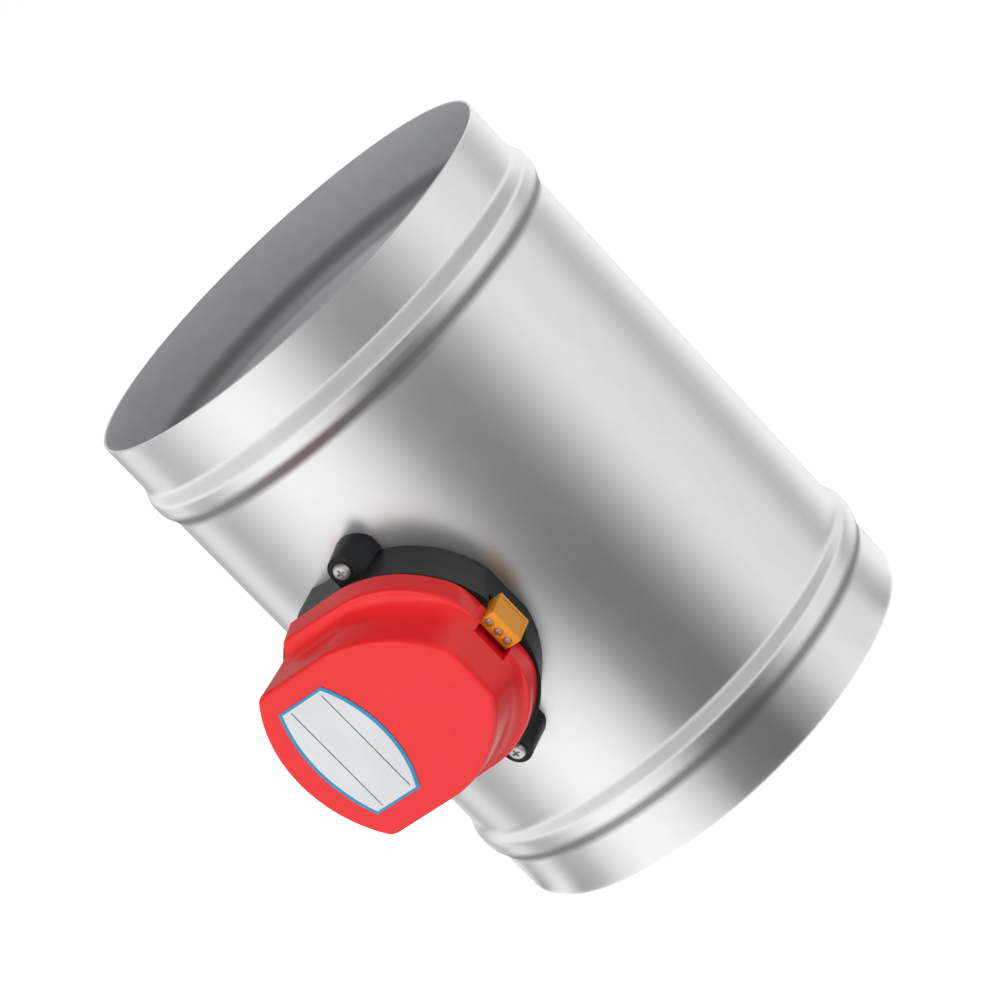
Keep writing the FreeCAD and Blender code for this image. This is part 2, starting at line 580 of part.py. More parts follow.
def actuatorBase():
    low = named("foot")
    high = named("base")
    outer = newBody("BaseOuter")
    housing(outer, "BaseOuter", low, high, "Sizes.footLevel", "Sizes.baseTop")
    wall = "Sizes.baseWall"
    inner = newBody("BaseInner")
    housing(inner, "BaseInner", inset(low, wall), inset(high, wall), "Sizes.footLevel", "Sizes.baseTop")
    along = {"y": "-1.5 * Sizes.baseBack", "z": f"-{ductRadius}", "turn": alongY}
    floor = cylinder("FloorSaddle", f"{ductRadius} + Sizes.floorThick", "3 * Sizes.baseBack", **along)
    shell = cut("BaseShell", outer, cut("BaseCavity", inner, floor))
    oneEar = ear()
    stopTop = "Sizes.outputLow - Sizes.stopRibGap"
    parts = [shell, oneEar, mirror("OtherEar", oneEar, Vector(0, 1, 0))]
    for x, u in postPlaces:
        parts.append(cylinder("Post", "Sizes.postDia / 2", "Sizes.gearPlateLow - Sizes.earFootLevel", x, u,
                              "Sizes.earFootLevel"))
    for x, u in boardPostPlaces:
        parts.append(cylinder("BoardPost", "Sizes.boardPostDia / 2", "Sizes.boardLow - Sizes.earFootLevel",
                              x, u, "Sizes.earFootLevel"))
    parts.append(cylinder("SpindleBoss", "Sizes.spindleBossDia / 2",
                          "Sizes.spindleBossTop - Sizes.earFootLevel", f"-{wheelDistance}", "0",
                          "Sizes.earFootLevel"))
    coverSeat = box("CoverSeatBlank", ("Sizes.baseFlat - Sizes.coverSeatDepth", "Sizes.baseFlat"),
                    around("0", "Sizes.coverSeatHalf"), ("Sizes.terminalLow", "Sizes.baseTop"))
    parts.append(common("CoverSeat", [coverSeat, outer]))
    swing = "Sizes.bladeSwing"
    parts.append(stopPiece("ClosedStop", "Sizes.stopRibHalfAngle", "Sizes.earFootLevel", stopTop,
                           f"({lugAngle} + {ribShift})"))
    parts.append(stopPiece("OpenStop", "Sizes.stopRibHalfAngle", "Sizes.earFootLevel", stopTop,
                           f"({lugAngle} - {swing} - {ribShift})"))
    through = {"height": "Sizes.baseTop - Sizes.footLevel", "z": "Sizes.footLevel"}
    tools = [cylinder("SaddleDuct", ductRadius, "3 * Sizes.baseBack", **along),
             cylinder("BushOpening", "Sizes.bushFlangeDia / 2 + Sizes.boltFit", **through)]
    notchHalf = "Sizes.terminalWidth / 2 + Sizes.terminalGap"
    notchLevels = ("Sizes.terminalLow", "Sizes.baseTop + 1")
    notchEnd = "Sizes.baseFlat + Sizes.drillLen"
    tools.append(box("TerminalNotch", ("Sizes.terminalInner - Sizes.terminalGap", notchEnd),
                     around("0", notchHalf), notchLevels))
    tools.append(box("NotchRelief", ("Sizes.flangeFlat", notchEnd),
                     around("0", f"{notchHalf} + Sizes.notchRelief"), notchLevels))
    for side in (-1, 1):
        tools.append(cylinder("EarPilot", "Sizes.earScrewDia / 2 + Sizes.seatFit",
                              y=f"{side} * Sizes.earPitch / 2", **through))
    pilots = [(x, u, "Sizes.gearPlateLow") for x, u in postPlaces]
    pilots += [(x, u, "Sizes.boardLow") for x, u in boardPostPlaces]
    for x, u, top in pilots:
        tools.append(cylinder("PostPilot", "Sizes.screwDia / 2", "Sizes.screwLen + 1", x, u,
                              f"{top} - Sizes.screwLen"))
    tools.append(cylinder("SpindleSocket", "Sizes.spindleDia / 2", "Sizes.baseTop", f"-{wheelDistance}",
                          z="Sizes.spindleBossTop - Sizes.spindleSeat"))
    solid = cut("ActuatorBase", fuse("BaseSolid", parts), fuse("BaseCuts", tools))
    return keep(onActuator(solid), "actuator_base")


def earScrews():
    screws = [panScrew("EarScrew", "earScrew", "Sizes.earTop", "0", f"{side} * Sizes.earPitch / 2")
              for side in (-1, 1)]
    return keep(onActuator(group("EarScrews", screws)), "ear_screws")


# Gears with involute teeth

def toothCorners(module, teeth):
    # One tooth about the X axis: root, base or pitch, and tip points of both flanks.
    pitch = module * teeth / 2
    pressure = math.radians(20)
    baseCircle = pitch * math.cos(pressure)
    root = pitch - 1.25 * module
    tip = pitch + module
    halfPitchAngle = math.pi / (2 * teeth) - value("backlash") / (4 * pitch)
    involutePitch = math.tan(pressure) - pressure

    def flank(radius):
        slope = math.acos(min(1, baseCircle / radius))
        return halfPitchAngle + involutePitch - (math.tan(slope) - slope)

    start = max(root, baseCircle)
    stations = [root - 0.3 * module, start, pitch, (pitch + tip) / 2, tip]
    angles = [flank(start), flank(start), flank(pitch), flank((pitch + tip) / 2), flank(tip)]
    upper = [(radius * math.cos(angle), radius * math.sin(angle))
             for radius, angle in zip(stations, angles)]
    lower = [(x, -y) for x, y in upper]
    return lower + upper[::-1]


def toothedDisc(body, name, module, teeth, low, width, firstAngle):
    rootSketch = newSketch(body, f"{name}RootSketch", lift=low)
    circle(rootSketch, f"Sizes.{module} * (Sizes.{teeth} / 2 - 1.25)")
    extrude(body, "Pad", f"{name}Root", rootSketch, width)
    toothSketch = newSketch(body, f"{name}ToothSketch", lift=low)
    corners = toothCorners(value(module), value(teeth))
    spin = Rotation(Vector(0, 0, 1), firstAngle)
    points = [spin.multVec(Vector(x, y, 0)) for x, y in corners]
    for start, end in zip(points, points[1:] + points[:1]):
        toothSketch.addGeometry(Part.LineSegment(start, end))
    count = len(points)
    for i in range(count):
        toothSketch.addConstraint(Sketcher.Constraint("Coincident", i, 2, (i + 1) % count, 1))
    tooth = extrude(body, "Pad", f"{name}Tooth", toothSketch, width)
    pattern = body.newObject("PartDesign::PolarPattern", f"{name}Teeth")
    pattern.Originals = [tooth]
    pattern.Axis = (originFeature(body, "Z_Axis"), [""])
    pattern.Angle = 360
    pattern.setExpression("Occurrences", f"Sizes.{teeth}")
    body.Tip = pattern


def outputGear():
    body = newBody("OutputGearBody")
    toothedDisc(body, "Output", "slowModule", "outputTeeth", "Sizes.outputLow", "Sizes.outputWidth", 180)
    hub = cylinder("OutputHub", "Sizes.hubDia / 2", f"Sizes.hubTop - {hubLow}", z=hubLow)
    lug = stopPiece("StopLug", "Sizes.stopHalfAngle", "Sizes.outputLow - Sizes.stopHeight",
                    "Sizes.outputLow", lugAngle)
    bore = common("OutputBore", [
        cylinder("BoreRound", slotRadius, "Sizes.baseTop"),
        box("BoreFlat", ("-Sizes.shaftDia", "Sizes.shaftFlat + Sizes.seatFit"),
            ("-Sizes.shaftDia", "Sizes.shaftDia"), ("0", "Sizes.baseTop"))])
    holes = []
    count = int(value("webHoleCount"))
    for k in range(count):
        hole = cylinder("WebHole", "Sizes.webHoleDia / 2", "Sizes.baseTop", "Sizes.webHoleCircle / 2")
        holes.append(turned("WebHolePlace", hole, (k + 0.5) * 360 / count))
    solid = fuse("OutputSolid", [cut("OutputWeb", body, fuse("WebHoles", holes)), hub, lug])
    return keep(onActuator(cut("OutputGear", solid, bore)), "output_gear")


def intermediateGear():
    body = newBody("IntermediateGearBody")
    toothedDisc(body, "Wheel", "fastModule", "wheelTeeth", "Sizes.wheelLow", "Sizes.wheelWidth",
                value("motorAngle"))
    smallLow = "Sizes.outputLow - Sizes.smallOverlap"
    toothedDisc(body, "Small", "slowModule", "smallTeeth", smallLow, f"Sizes.wheelLow - ({smallLow})",
                180 / value("smallTeeth"))
    bore = cylinder("IntermediateBore", "Sizes.spindleDia / 2 + Sizes.runningFit", "Sizes.baseTop")
    return keep(onActuator(cut("IntermediateGear", body, bore), f"-{wheelDistance}"), "intermediate_gear")


def motorPinion():
    body = newBody("MotorPinionBody")
    firstAngle = value("motorAngle") + 180 + 180 / value("motorTeeth")
    toothedDisc(body, "Motor", "fastModule", "motorTeeth", "Sizes.motorPinionLow", "Sizes.motorPinionWidth",
                firstAngle)
    shaftLen = f"{plateTop} + Sizes.motorShaftSeat - Sizes.motorPinionLow"
    spindle = cylinder("MotorShaft", "Sizes.motorShaftDia / 2", shaftLen, z="Sizes.motorPinionLow")
    return keep(onActuator(fuse("MotorPinion", [body, spindle]), motorX, motorU), "motor_pinion")


def gearSpindle():
    low = "(Sizes.spindleBossTop - Sizes.spindleSeat)"
    rod = cylinder("GearSpindle", "Sizes.spindleDia / 2", f"{plateTop} + Sizes.spindleEnd - {low}", z=low)
    holder = group("GearSpindleHolder", [rod])
    return keep(onActuator(holder, f"-{wheelDistance}"), "gear_spindle")


# Gear plate, motor and their screws

def gearPlate():
    low = "Sizes.gearPlateLow"
    sheetMetal = box("PlateBlank", ("-2 * Sizes.gearPlateReach", "Sizes.gearPlateNear"),
                     around("0", "Sizes.gearPlateHalf"), (low, plateTop))
    reach = cylinder("PlateRound", "Sizes.gearPlateReach", "Sizes.gearPlateGauge", z=low)
    tools = [drill("HubHole", "Sizes.hubHoleDia / 2", low),
             drill("SpindleHole", "Sizes.spindleDia / 2", low, f"-{wheelDistance}"),
             drill("CollarHole", "Sizes.motorCollarDia / 2 + Sizes.seatFit", low, motorX, motorU)]
    for x, u in postPlaces + motorScrewPlaces:
        tools.append(drill("PlateScrewHole", "Sizes.screwDia / 2 + Sizes.seatFit", low, x, u))
    solid = cut("GearPlate", common("PlateShape", [sheetMetal, reach]), fuse("PlateHoles", tools))
    return keep(onActuator(solid), "gear_plate")


motorScrewPlaces = [(f"{motorX} + {side} * Sizes.motorEarSpan / 2", motorU) for side in (-1, 1)]


def motor():
    low = f"({plateTop})"
    can = cylinder("MotorCan", "Sizes.motorDia / 2", "Sizes.motorHeight", motorX, motorU, low)
    collar = cylinder("MotorCollar", "Sizes.motorCollarDia / 2", "Sizes.gearPlateGauge", motorX, motorU,
                      "Sizes.gearPlateLow")
    strap = box("MotorStrap", around(motorX, "Sizes.motorEarSpan / 2"),
                around(motorU, "Sizes.motorEarWidth / 2"),
                (low, f"{low} + Sizes.motorEarThick"))
    ends = [cylinder("MotorEarEnd", "Sizes.motorEarWidth / 2", "Sizes.motorEarThick", x, u, low)
            for x, u in motorScrewPlaces]
    band = cylinder("MotorSeam", "Sizes.motorDia / 2 + Sizes.motorSeamStep", "Sizes.motorSeamHeight",
                    motorX, motorU, f"{low} + Sizes.motorHeight / 2")
    holes = [drill("MotorEarHole", "Sizes.screwDia / 2 + Sizes.seatFit", low, x, u)
             for x, u in motorScrewPlaces]
    bore = cylinder("MotorBore", "Sizes.motorShaftDia / 2 + Sizes.runningFit",
                    "Sizes.gearPlateGauge + Sizes.motorShaftSeat + Sizes.endPlay + 1", motorX, motorU,
                    "Sizes.gearPlateLow - 1")
    solid = cut("Motor", fuse("MotorSolid", [can, collar, strap, band] + ends),
                fuse("MotorHoles", holes + [bore]))
    return keep(onActuator(solid), "motor")


def gearPlateScrews():
    screws = [panScrew("PlateScrew", "screw", plateTop, x, u) for x, u in postPlaces]
    return keep(onActuator(group("GearPlateScrews", screws)), "gear_plate_screws")


def motorScrews():
    seat = f"({plateTop} + Sizes.motorEarThick)"
    screws = []
    for x, u in motorScrewPlaces:
        shank = cylinder("MotorScrewShank", "Sizes.screwDia / 2",
                         "Sizes.gearPlateGauge + Sizes.motorEarThick", x, u, "Sizes.gearPlateLow")
        head = cylinder("MotorScrewHead", "Sizes.screwHeadDia / 2", "Sizes.screwHeadHeight", x, u, seat)
        screws.append(fuse("MotorScrew", [shank, head]))
    return keep(onActuator(group("MotorScrews", screws)), "motor_screws")


def hubFasteners():
    washerLow = "Sizes.hubTop"
    disc = cylinder("HubWasherDisc", "Sizes.hubWasherDia / 2", "Sizes.hubWasherThick", z=washerLow)
    hole = drill("HubWasherHole", "Sizes.hubScrewDia / 2 + Sizes.boltFit", washerLow)
    keep(onActuator(cut("HubWasher", disc, hole)), "hub_washer")
    seat = "(Sizes.hubTop + Sizes.hubWasherThick)"
    keep(onActuator(panScrew("HubScrew", "hubScrew", seat)), "hub_screw")


# Circuit board and terminal block

terminalSide = "(Sizes.terminalWidth / 2)"
terminalOuter = "(Sizes.terminalInner + Sizes.terminalDepth)"
terminalTop = "(Sizes.terminalLow + Sizes.terminalHeight)"
footInner = "(Sizes.terminalInner - Sizes.terminalFoot)"
screwX = "(Sizes.terminalInner + Sizes.terminalScrewInset)"
pinX = "(Sizes.terminalInner - Sizes.terminalFoot / 2)"


def circuitBoard():
    blank = box("BoardBlank", ("Sizes.boardInner", "2 * Sizes.boardReach"),
                around("0", "2 * Sizes.boardReach"), ("Sizes.boardLow", boardTop))
    roundEdge = cylinder("BoardRound", "Sizes.boardReach", "Sizes.boardThick", z="Sizes.boardLow")
    tools = []
    for x, u in boardPostPlaces:
        tools.append(drill("BoardScrewHole", "Sizes.screwDia / 2 + Sizes.seatFit", "Sizes.boardLow", x, u))
    half = "(Sizes.pinWide / 2 + Sizes.seatFit)"
    for k in (-1, 0, 1):
        u = f"{k} * Sizes.terminalPitch"
        tools.append(box("PinHole", around(pinX, half), around(u, half),
                         ("Sizes.boardLow - 1", f"{boardTop} + 1")))
    solid = cut("CircuitBoard", common("BoardShape", [blank, roundEdge]), fuse("BoardHoles", tools))
    return keep(onActuator(solid), "circuit_board")


def boardScrews():
    screws = [panScrew("BoardScrew", "screw", boardTop, x, u) for x, u in boardPostPlaces]
    return keep(onActuator(group("BoardScrews", screws)), "board_screws")


def boardComponents():
    capacitor = cylinder("Capacitor", "Sizes.capacitorDia / 2", "Sizes.capacitorHeight", "Sizes.capacitorX",
                         "Sizes.capacitorU", boardTop)
    relay = box("Relay", around("Sizes.relayX", "Sizes.relayWide / 2"),
                around("Sizes.relayU", "Sizes.relayLen / 2"), (boardTop, f"{boardTop} + Sizes.relayHeight"))
    chipHalf = "Sizes.chipLen / 2"
    chip = box("Chip", around("Sizes.chipX", chipHalf), around("Sizes.chipU", chipHalf),
               (boardTop, f"{boardTop} + Sizes.chipHeight"))
    return keep(onActuator(group("BoardComponents", [capacitor, relay, chip])), "board_components")


def terminalBlock():
    block = box("BlockBody", ("Sizes.terminalInner", terminalOuter), (f"-{terminalSide}", terminalSide),
                ("Sizes.terminalLow", terminalTop))
    foot = box("BlockFoot", (footInner, "Sizes.terminalInner"), (f"-{terminalSide}", terminalSide),
               ("Sizes.terminalLow", "Sizes.terminalLow + Sizes.terminalFootHeight"))
    tools = []
    for k in (-1, 0, 1):
        u = f"{k} * Sizes.terminalPitch"
        wellFloor = f"{terminalTop} - Sizes.terminalWellDepth"
        tools.append(cylinder("ScrewWell", "Sizes.terminalWellDia / 2", "Sizes.terminalWellDepth + 1",
                              screwX, u, wellFloor))
        tools.append(cylinder("ScrewBore", "Sizes.terminalShankDia / 2", "Sizes.terminalScrewLen + 1",
                              screwX, u, f"{wellFloor} - Sizes.terminalScrewLen"))
        half = "(Sizes.pinWide / 2 + Sizes.seatFit)"
        tools.append(box("PinSlot", around(pinX, half), around(u, half),
                         ("Sizes.terminalLow - 1", "Sizes.terminalLow + Sizes.pinSeat")))
    tools.append(box("FacePanel", (f"{terminalOuter} - Sizes.panelInset", f"{terminalOuter} + 1"),
                     around("0", f"{terminalSide} - Sizes.panelMargin"),
                     ("Sizes.terminalLow + Sizes.panelMargin", f"{terminalTop} - Sizes.panelTopMargin")))
    solid = cut("TerminalBlock", fuse("BlockSolid", [block, foot]), fuse("BlockCuts", tools))
    return keep(onActuator(solid), "terminal_block")


def terminalScrews():
    seat = f"({terminalTop} - Sizes.terminalWellDepth)"
    screws = []
    for k in (-1, 0, 1):
        u = f"{k} * Sizes.terminalPitch"
        head = cylinder("TerminalHead", "Sizes.terminalScrewDia / 2", "Sizes.terminalHeadHeight", screwX, u,
                        seat)
        shank = cylinder("TerminalShank", "Sizes.terminalShankDia / 2", "Sizes.terminalScrewLen", screwX, u,
                         f"{seat} - Sizes.terminalScrewLen")
        slot = box("TerminalSlot", around(screwX, "Sizes.terminalSlotWidth / 2"),
                   around(u, "Sizes.terminalScrewDia"),
                   (f"{seat} + Sizes.terminalHeadHeight - Sizes.terminalSlotDepth", f"{seat} + 2"))
        screws.append(cut("TerminalScrew", fuse("TerminalScrewSolid", [head, shank]), slot))
    return keep(onActuator(group("TerminalScrews", screws)), "terminal_screws")


def terminalPins():
    half = "Sizes.pinWide / 2"
    pinTop = "Sizes.terminalLow + Sizes.pinSeat"
    pins = []
    for k in (-1, 0, 1):
        u = f"{k} * Sizes.terminalPitch"
        pins.append(box("TerminalPin", around(pinX, half), around(u, half),
                        (f"{pinTop} - Sizes.pinLen", pinTop)))
    return keep(onActuator(group("TerminalPins", pins)), "terminal_pins")


# Cover: flange, ledge and head, hollow, with a recess over the terminal block

def cover():
    flange = named("flange")
    ledge = named("ledge")
    headLow = named("head")
    face = named("face")
    outer = newBody("CoverOuter")
    housing(outer, "FlangeOuter", flange, ledge, "Sizes.baseTop", "Sizes.ledgeLevel")
    head = housing(outer, "HeadOuter", headLow, face, "Sizes.ledgeLevel", "Sizes.faceLevel")
    doc.recompute()
    faceLevel = value("faceLevel")
    rim = [f"Edge{i}" for i, edge in enumerate(head.Shape.Edges, start=1)
           if all(abs(vertex.Z - faceLevel) < 0.001 for vertex in edge.Vertexes)]
    rounded = outer.newObject("PartDesign::Fillet", "FaceRound")
    rounded.Base = (head, rim)
    rounded.setExpression("Radius", "Sizes.faceRound")
    wall = "Sizes.coverWall"
    innerTop = f"(Sizes.faceLevel - {wall})"
    share = f"(({innerTop} - Sizes.ledgeLevel) / (Sizes.faceLevel - Sizes.ledgeLevel))"
    hollow = newBody("CoverHollow")
    housing(hollow, "FlangeInner", inset(flange, wall), inset(ledge, wall), "Sizes.baseTop",
            f"Sizes.ledgeLevel - {wall}")
    housing(hollow, "HeadInner", inset(headLow, wall), inset(between(headLow, face, share), wall),
            f"Sizes.ledgeLevel - {wall}", innerTop)
    shell = cut("CoverShell", outer, hollow)
    side = f"({terminalSide} + Sizes.terminalGap)"
    recessX = "(Sizes.terminalInner - Sizes.recessDepth)"
    recessTop = f"({terminalTop} + Sizes.recessHeight)"
    liner = box("RecessLiner", (f"{recessX} - Sizes.recessWall", "Sizes.flangeFlat"),
                around("0", f"{side} + Sizes.recessWall"),
                ("Sizes.baseTop", f"{recessTop} + Sizes.recessWall"))
    recess = box("Recess", (recessX, "Sizes.flangeFlat + Sizes.drillLen"), around("0", side),
                 ("Sizes.baseTop - 1", recessTop))
    tongues = []
    for sign in (-1, 1):
        for x in ("Sizes.tongueNear", "Sizes.tongueFar"):
            tongues.append(tongue(sign, x))
    solid = fuse("CoverSolid", [shell, common("LinerShape", [liner, outer])] + tongues)
    return keep(onActuator(cut("Cover", solid, recess)), "cover")


def tongue(sign, x):
    # Snap tongue: hangs from the flange wall and reaches down inside the base wall.
    span = (f"-{x} - Sizes.tongueWidth", f"-{x}")
    outerU = "(Sizes.baseSide - Sizes.baseWall - 2 * Sizes.tongueGap)"
    innerU = f"({outerU} - Sizes.tongueThick)"
    wallU = "(Sizes.flangeSide - Sizes.coverWall + Sizes.tongueRootDepth)"
    low = "Sizes.baseTop - Sizes.tongueReach"
    top = "Sizes.baseTop + Sizes.coverWall * 2"
    blade = [innerU, outerU]
    root = [innerU, wallU]
    if sign < 0:
        blade = [f"-{outerU}", f"-{innerU}"]
        root = [f"-{wallU}", f"-{innerU}"]
    return fuse("Tongue", [box("TongueBlade", span, blade, (low, top)),
                           box("TongueRoot", span, root, ("Sizes.baseTop", top))])


def labelPlate():
    body = newBody("LabelPlate")
    sketch = newSketch(body, "LabelOutline", lift="Sizes.faceLevel")
    rough = [(-15, -20), (-15, 20), (-32, 20), (-32, -20)]
    exact = [("-Sizes.labelNear", "-Sizes.labelHalf"), ("-Sizes.labelNear", "Sizes.labelHalf"),
             ("-Sizes.labelFar", "Sizes.labelHalf"), ("-Sizes.labelFar", "-Sizes.labelHalf")]
    outline(sketch, rough, exact, {0: (-9, 0), 2: (-37, 0)},
            {0: "Sizes.labelNearArc", 2: "Sizes.labelFarArc"})
    extrude(body, "Pad", "LabelPad", sketch, "Sizes.labelThick")
    return keep(onActuator(body), "label_plate")


casing()
shaft()
bush("DriveBush", "drive_bush", 1)
bush("IdleBush", "idle_bush", -1)
washer()
shaftClip()
bladePlate("BladePlateUpper", "blade_plate_upper", False)
bladePlate("BladePlateLower", "blade_plate_lower", True)
bladeSeal()
bladeRivets()
bladeBolts()
actuatorBase()
earScrews()
outputGear()
intermediateGear()
motorPinion()
gearSpindle()
gearPlate()
gearPlateScrews()
motor()
motorScrews()
hubFasteners()
circuitBoard()
boardScrews()
boardComponents()
terminalBlock()
terminalScrews()
terminalPins()
cover()
labelPlate()
doc.recompute()

for item in doc.Objects:
    if "Invalid" in item.State or "Error" in item.State:
        raise RuntimeError(f"{item.Name} failed: {item.State}")
os.makedirs("parts", exist_ok=True)
for piece in nodes:
    shape = piece.Shape
    if shape.isNull() or not shape.isValid():
        raise RuntimeError(f"{piece.Label} has no valid shape")
    shape.exportStep(f"parts/{piece.Label}.step")
    print(f"{piece.Label}: {len(shape.Solids)} solid(s), {shape.Volume:.1f} mm3")
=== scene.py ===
# Volume control damper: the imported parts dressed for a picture, in metres.
import bmesh
import bpy
import json
import math
from mathutils import Matrix, Vector


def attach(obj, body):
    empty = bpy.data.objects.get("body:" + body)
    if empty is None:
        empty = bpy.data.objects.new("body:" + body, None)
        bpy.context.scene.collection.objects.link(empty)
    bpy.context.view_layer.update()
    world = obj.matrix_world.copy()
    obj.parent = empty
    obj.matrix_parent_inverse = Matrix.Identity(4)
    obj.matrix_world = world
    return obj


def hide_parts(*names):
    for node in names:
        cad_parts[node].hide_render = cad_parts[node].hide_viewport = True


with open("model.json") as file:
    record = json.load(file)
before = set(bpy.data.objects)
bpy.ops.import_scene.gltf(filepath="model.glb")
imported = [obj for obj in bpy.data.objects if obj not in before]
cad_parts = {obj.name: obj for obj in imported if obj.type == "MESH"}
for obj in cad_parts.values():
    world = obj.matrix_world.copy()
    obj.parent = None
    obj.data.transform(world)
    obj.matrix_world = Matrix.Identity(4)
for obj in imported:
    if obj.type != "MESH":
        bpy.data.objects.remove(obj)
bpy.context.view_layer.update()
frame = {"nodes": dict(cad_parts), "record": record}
print("frame loaded:", len(frame["nodes"]), "nodes")

mm = 0.001
duct = {"radius": 74.5, "length": 194.0, "gauge": 0.8}
middle = duct["length"] / 2
meshCare = {"weld": 0.002 * mm, "shortest": 0.001 * mm, "smoothBelow": 40, "roundAbove": 30}


def onDuct(x, u, w):    # x across, u up the duct, w outward from the duct axis
    return Vector((x * mm, -w * mm, (middle + u) * mm))


def meshObject(name, points, faces, material=None):
    data = bpy.data.meshes.new(name)
    data.from_pydata([tuple(p) for p in points], [], faces)
    data.update()
    piece = bpy.data.objects.new(name, data)
    bpy.context.scene.collection.objects.link(piece)
    if material:
        data.materials.append(material)
    return piece


def tidyNormals(piece):
    work = bmesh.new()
    work.from_mesh(piece.data)
    bmesh.ops.remove_doubles(work, verts=work.verts, dist=meshCare["weld"])
    bmesh.ops.dissolve_degenerate(work, edges=work.edges, dist=meshCare["shortest"])
    bmesh.ops.recalc_face_normals(work, faces=work.faces)
    work.to_mesh(piece.data)
    work.free()
    return piece


def settle(piece):    # modifiers become the piece's own plain mesh
    graph = bpy.context.evaluated_depsgraph_get()
    solid = bpy.data.meshes.new_from_object(piece.evaluated_get(graph), depsgraph=graph)
    piece.modifiers.clear()
    piece.data = solid
    solid.name = piece.name
    return piece


def smooth(piece, angle=meshCare["smoothBelow"]):
    for face in piece.data.polygons:
        face.use_smooth = True
    piece.data.set_sharp_from_angle(angle=math.radians(angle))
    weigh = piece.modifiers.new("evenShading", "WEIGHTED_NORMAL")
    weigh.keep_sharp = True
    return settle(piece)


def combine(piece, tool, operation, materialMode="INDEX"):
    step = piece.modifiers.new("combine", "BOOLEAN")
    step.material_mode = materialMode
    step.operation = operation
    step.object = tool
    step.solver = "EXACT"
    settle(piece)
    bpy.data.objects.remove(tool)
    return piece


def roundEdges(piece, width, segments=2, angle=meshCare["roundAbove"]):
    step = piece.modifiers.new("roundEdges", "BEVEL")
    step.width = width * mm
    step.segments = segments
    step.limit_method = "ANGLE"
    step.angle_limit = math.radians(angle)
    return settle(piece)


def nodeCopy(node, name, flatness=1.0):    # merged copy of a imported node's mesh, flat parts made one face
    source = frame["nodes"][node]
    piece = bpy.data.objects.new(name, source.data.copy())
    bpy.context.scene.collection.objects.link(piece)
    piece.data.materials.clear()
    work = bmesh.new()
    work.from_mesh(piece.data)
    bmesh.ops.remove_doubles(work, verts=work.verts, dist=meshCare["weld"])
    bmesh.ops.dissolve_limit(work, angle_limit=math.radians(flatness), verts=work.verts, edges=work.edges)
    work.to_mesh(piece.data)
    work.free()
    return piece


def boxPiece(name, low, high):    # corners as (x, u, w)
    (x0, u0, w0), (x1, u1, w1) = low, high
    corners = [(x, u, w) for w in (w0, w1) for u in (u0, u1) for x in (x0, x1)]
    faces = [(0, 2, 3, 1), (4, 5, 7, 6), (0, 1, 5, 4), (2, 6, 7, 3), (0, 4, 6, 2), (1, 3, 7, 5)]
    return tidyNormals(meshObject(name, [onDuct(*c) for c in corners], faces))


def roundBar(name, radius, start, end, count=48):    # plain bar between two points
    start, end = Vector(start), Vector(end)
    along = (end - start).normalized()
    side = along.orthogonal().normalized()
    other = along.cross(side)
    points = []
    for base in (start, end):
        for k in range(count):
            turn = 2 * math.pi * k / count
            points.append(base + (side * math.cos(turn) + other * math.sin(turn)) * radius)
    faces = [(k, (k + 1) % count, (k + 1) % count + count, k + count) for k in range(count)]
    faces += [tuple(range(count))[::-1], tuple(range(count, 2 * count))]
    return tidyNormals(meshObject(name, points, faces))


def latheMesh(name, profile, count=40):    # profile of (radius, height) from the low centre to the top centre
    points = []
    faces = []
    rings = []
    for radius, height in profile:
        if radius == 0:
            rings.append([len(points)])
            points.append((0, 0, height * mm))
            continue
        rings.append(list(range(len(points), len(points) + count)))
        for k in range(count):
            turn = 2 * math.pi * k / count
            points.append((radius * mm * math.cos(turn), radius * mm * math.sin(turn), height * mm))
    for low, high in zip(rings, rings[1:]):
        for k in range(count):
            n = (k + 1) % count
            if len(low) == 1:
                faces.append((low[0], high[n], high[k]))
            elif len(high) == 1:
                faces.append((low[k], low[n], high[0]))
            else:
                faces.append((low[k], low[n], high[n], high[k]))
    return tidyNormals(meshObject(name, points, faces))


def socketGroup(name, inputs, outputs):
    tree = bpy.data.node_groups.new(name, "ShaderNodeTree")
    for label, kind, default in inputs:
        socket = tree.interface.new_socket(label, in_out="INPUT", socket_type=kind)
        if default is not None:
            socket.default_value = default
    for label, kind in outputs:
        tree.interface.new_socket(label, in_out="OUTPUT", socket_type=kind)
    start = tree.nodes.new("NodeGroupInput")
    end = tree.nodes.new("NodeGroupOutput")
    return tree, start, end


def noiseNode(tree, vector, detail=3.0, roughness=0.55):
    node = tree.nodes.new("ShaderNodeTexNoise")
    node.inputs["Detail"].default_value = detail
    node.inputs["Roughness"].default_value = roughness
    tree.links.new(vector, node.inputs["Vector"])
    return node


def mathNode(tree, operation, *values):
    node = tree.nodes.new("ShaderNodeMath")
    node.operation = operation
    for socket, value in zip(node.inputs, values):
        if isinstance(value, (int, float)):
            socket.default_value = value
        else:
            tree.links.new(value, socket)
    return node.outputs["Value"]


def spread(tree, value, low, high, outLow=0.0, outHigh=1.0):
    node = tree.nodes.new("ShaderNodeMapRange")
    node.inputs["From Min"].default_value = low
    node.inputs["From Max"].default_value = high
    node.inputs["To Min"].default_value = outLow
    node.inputs["To Max"].default_value = outHigh
    tree.links.new(value, node.inputs["Value"])
    return node.outputs["Result"]


grainLook = {"size": 1500.0, "broadSize": 0.06, "fineShare": 0.45, "broadShare": 0.55,
             "toneFrom": (0.35, 0.65), "roughFrom": (0.3, 0.7), "depth": 0.04}
handlingLook = {"size": 30.0, "amount": 0.5, "from": (0.45, 0.75)}


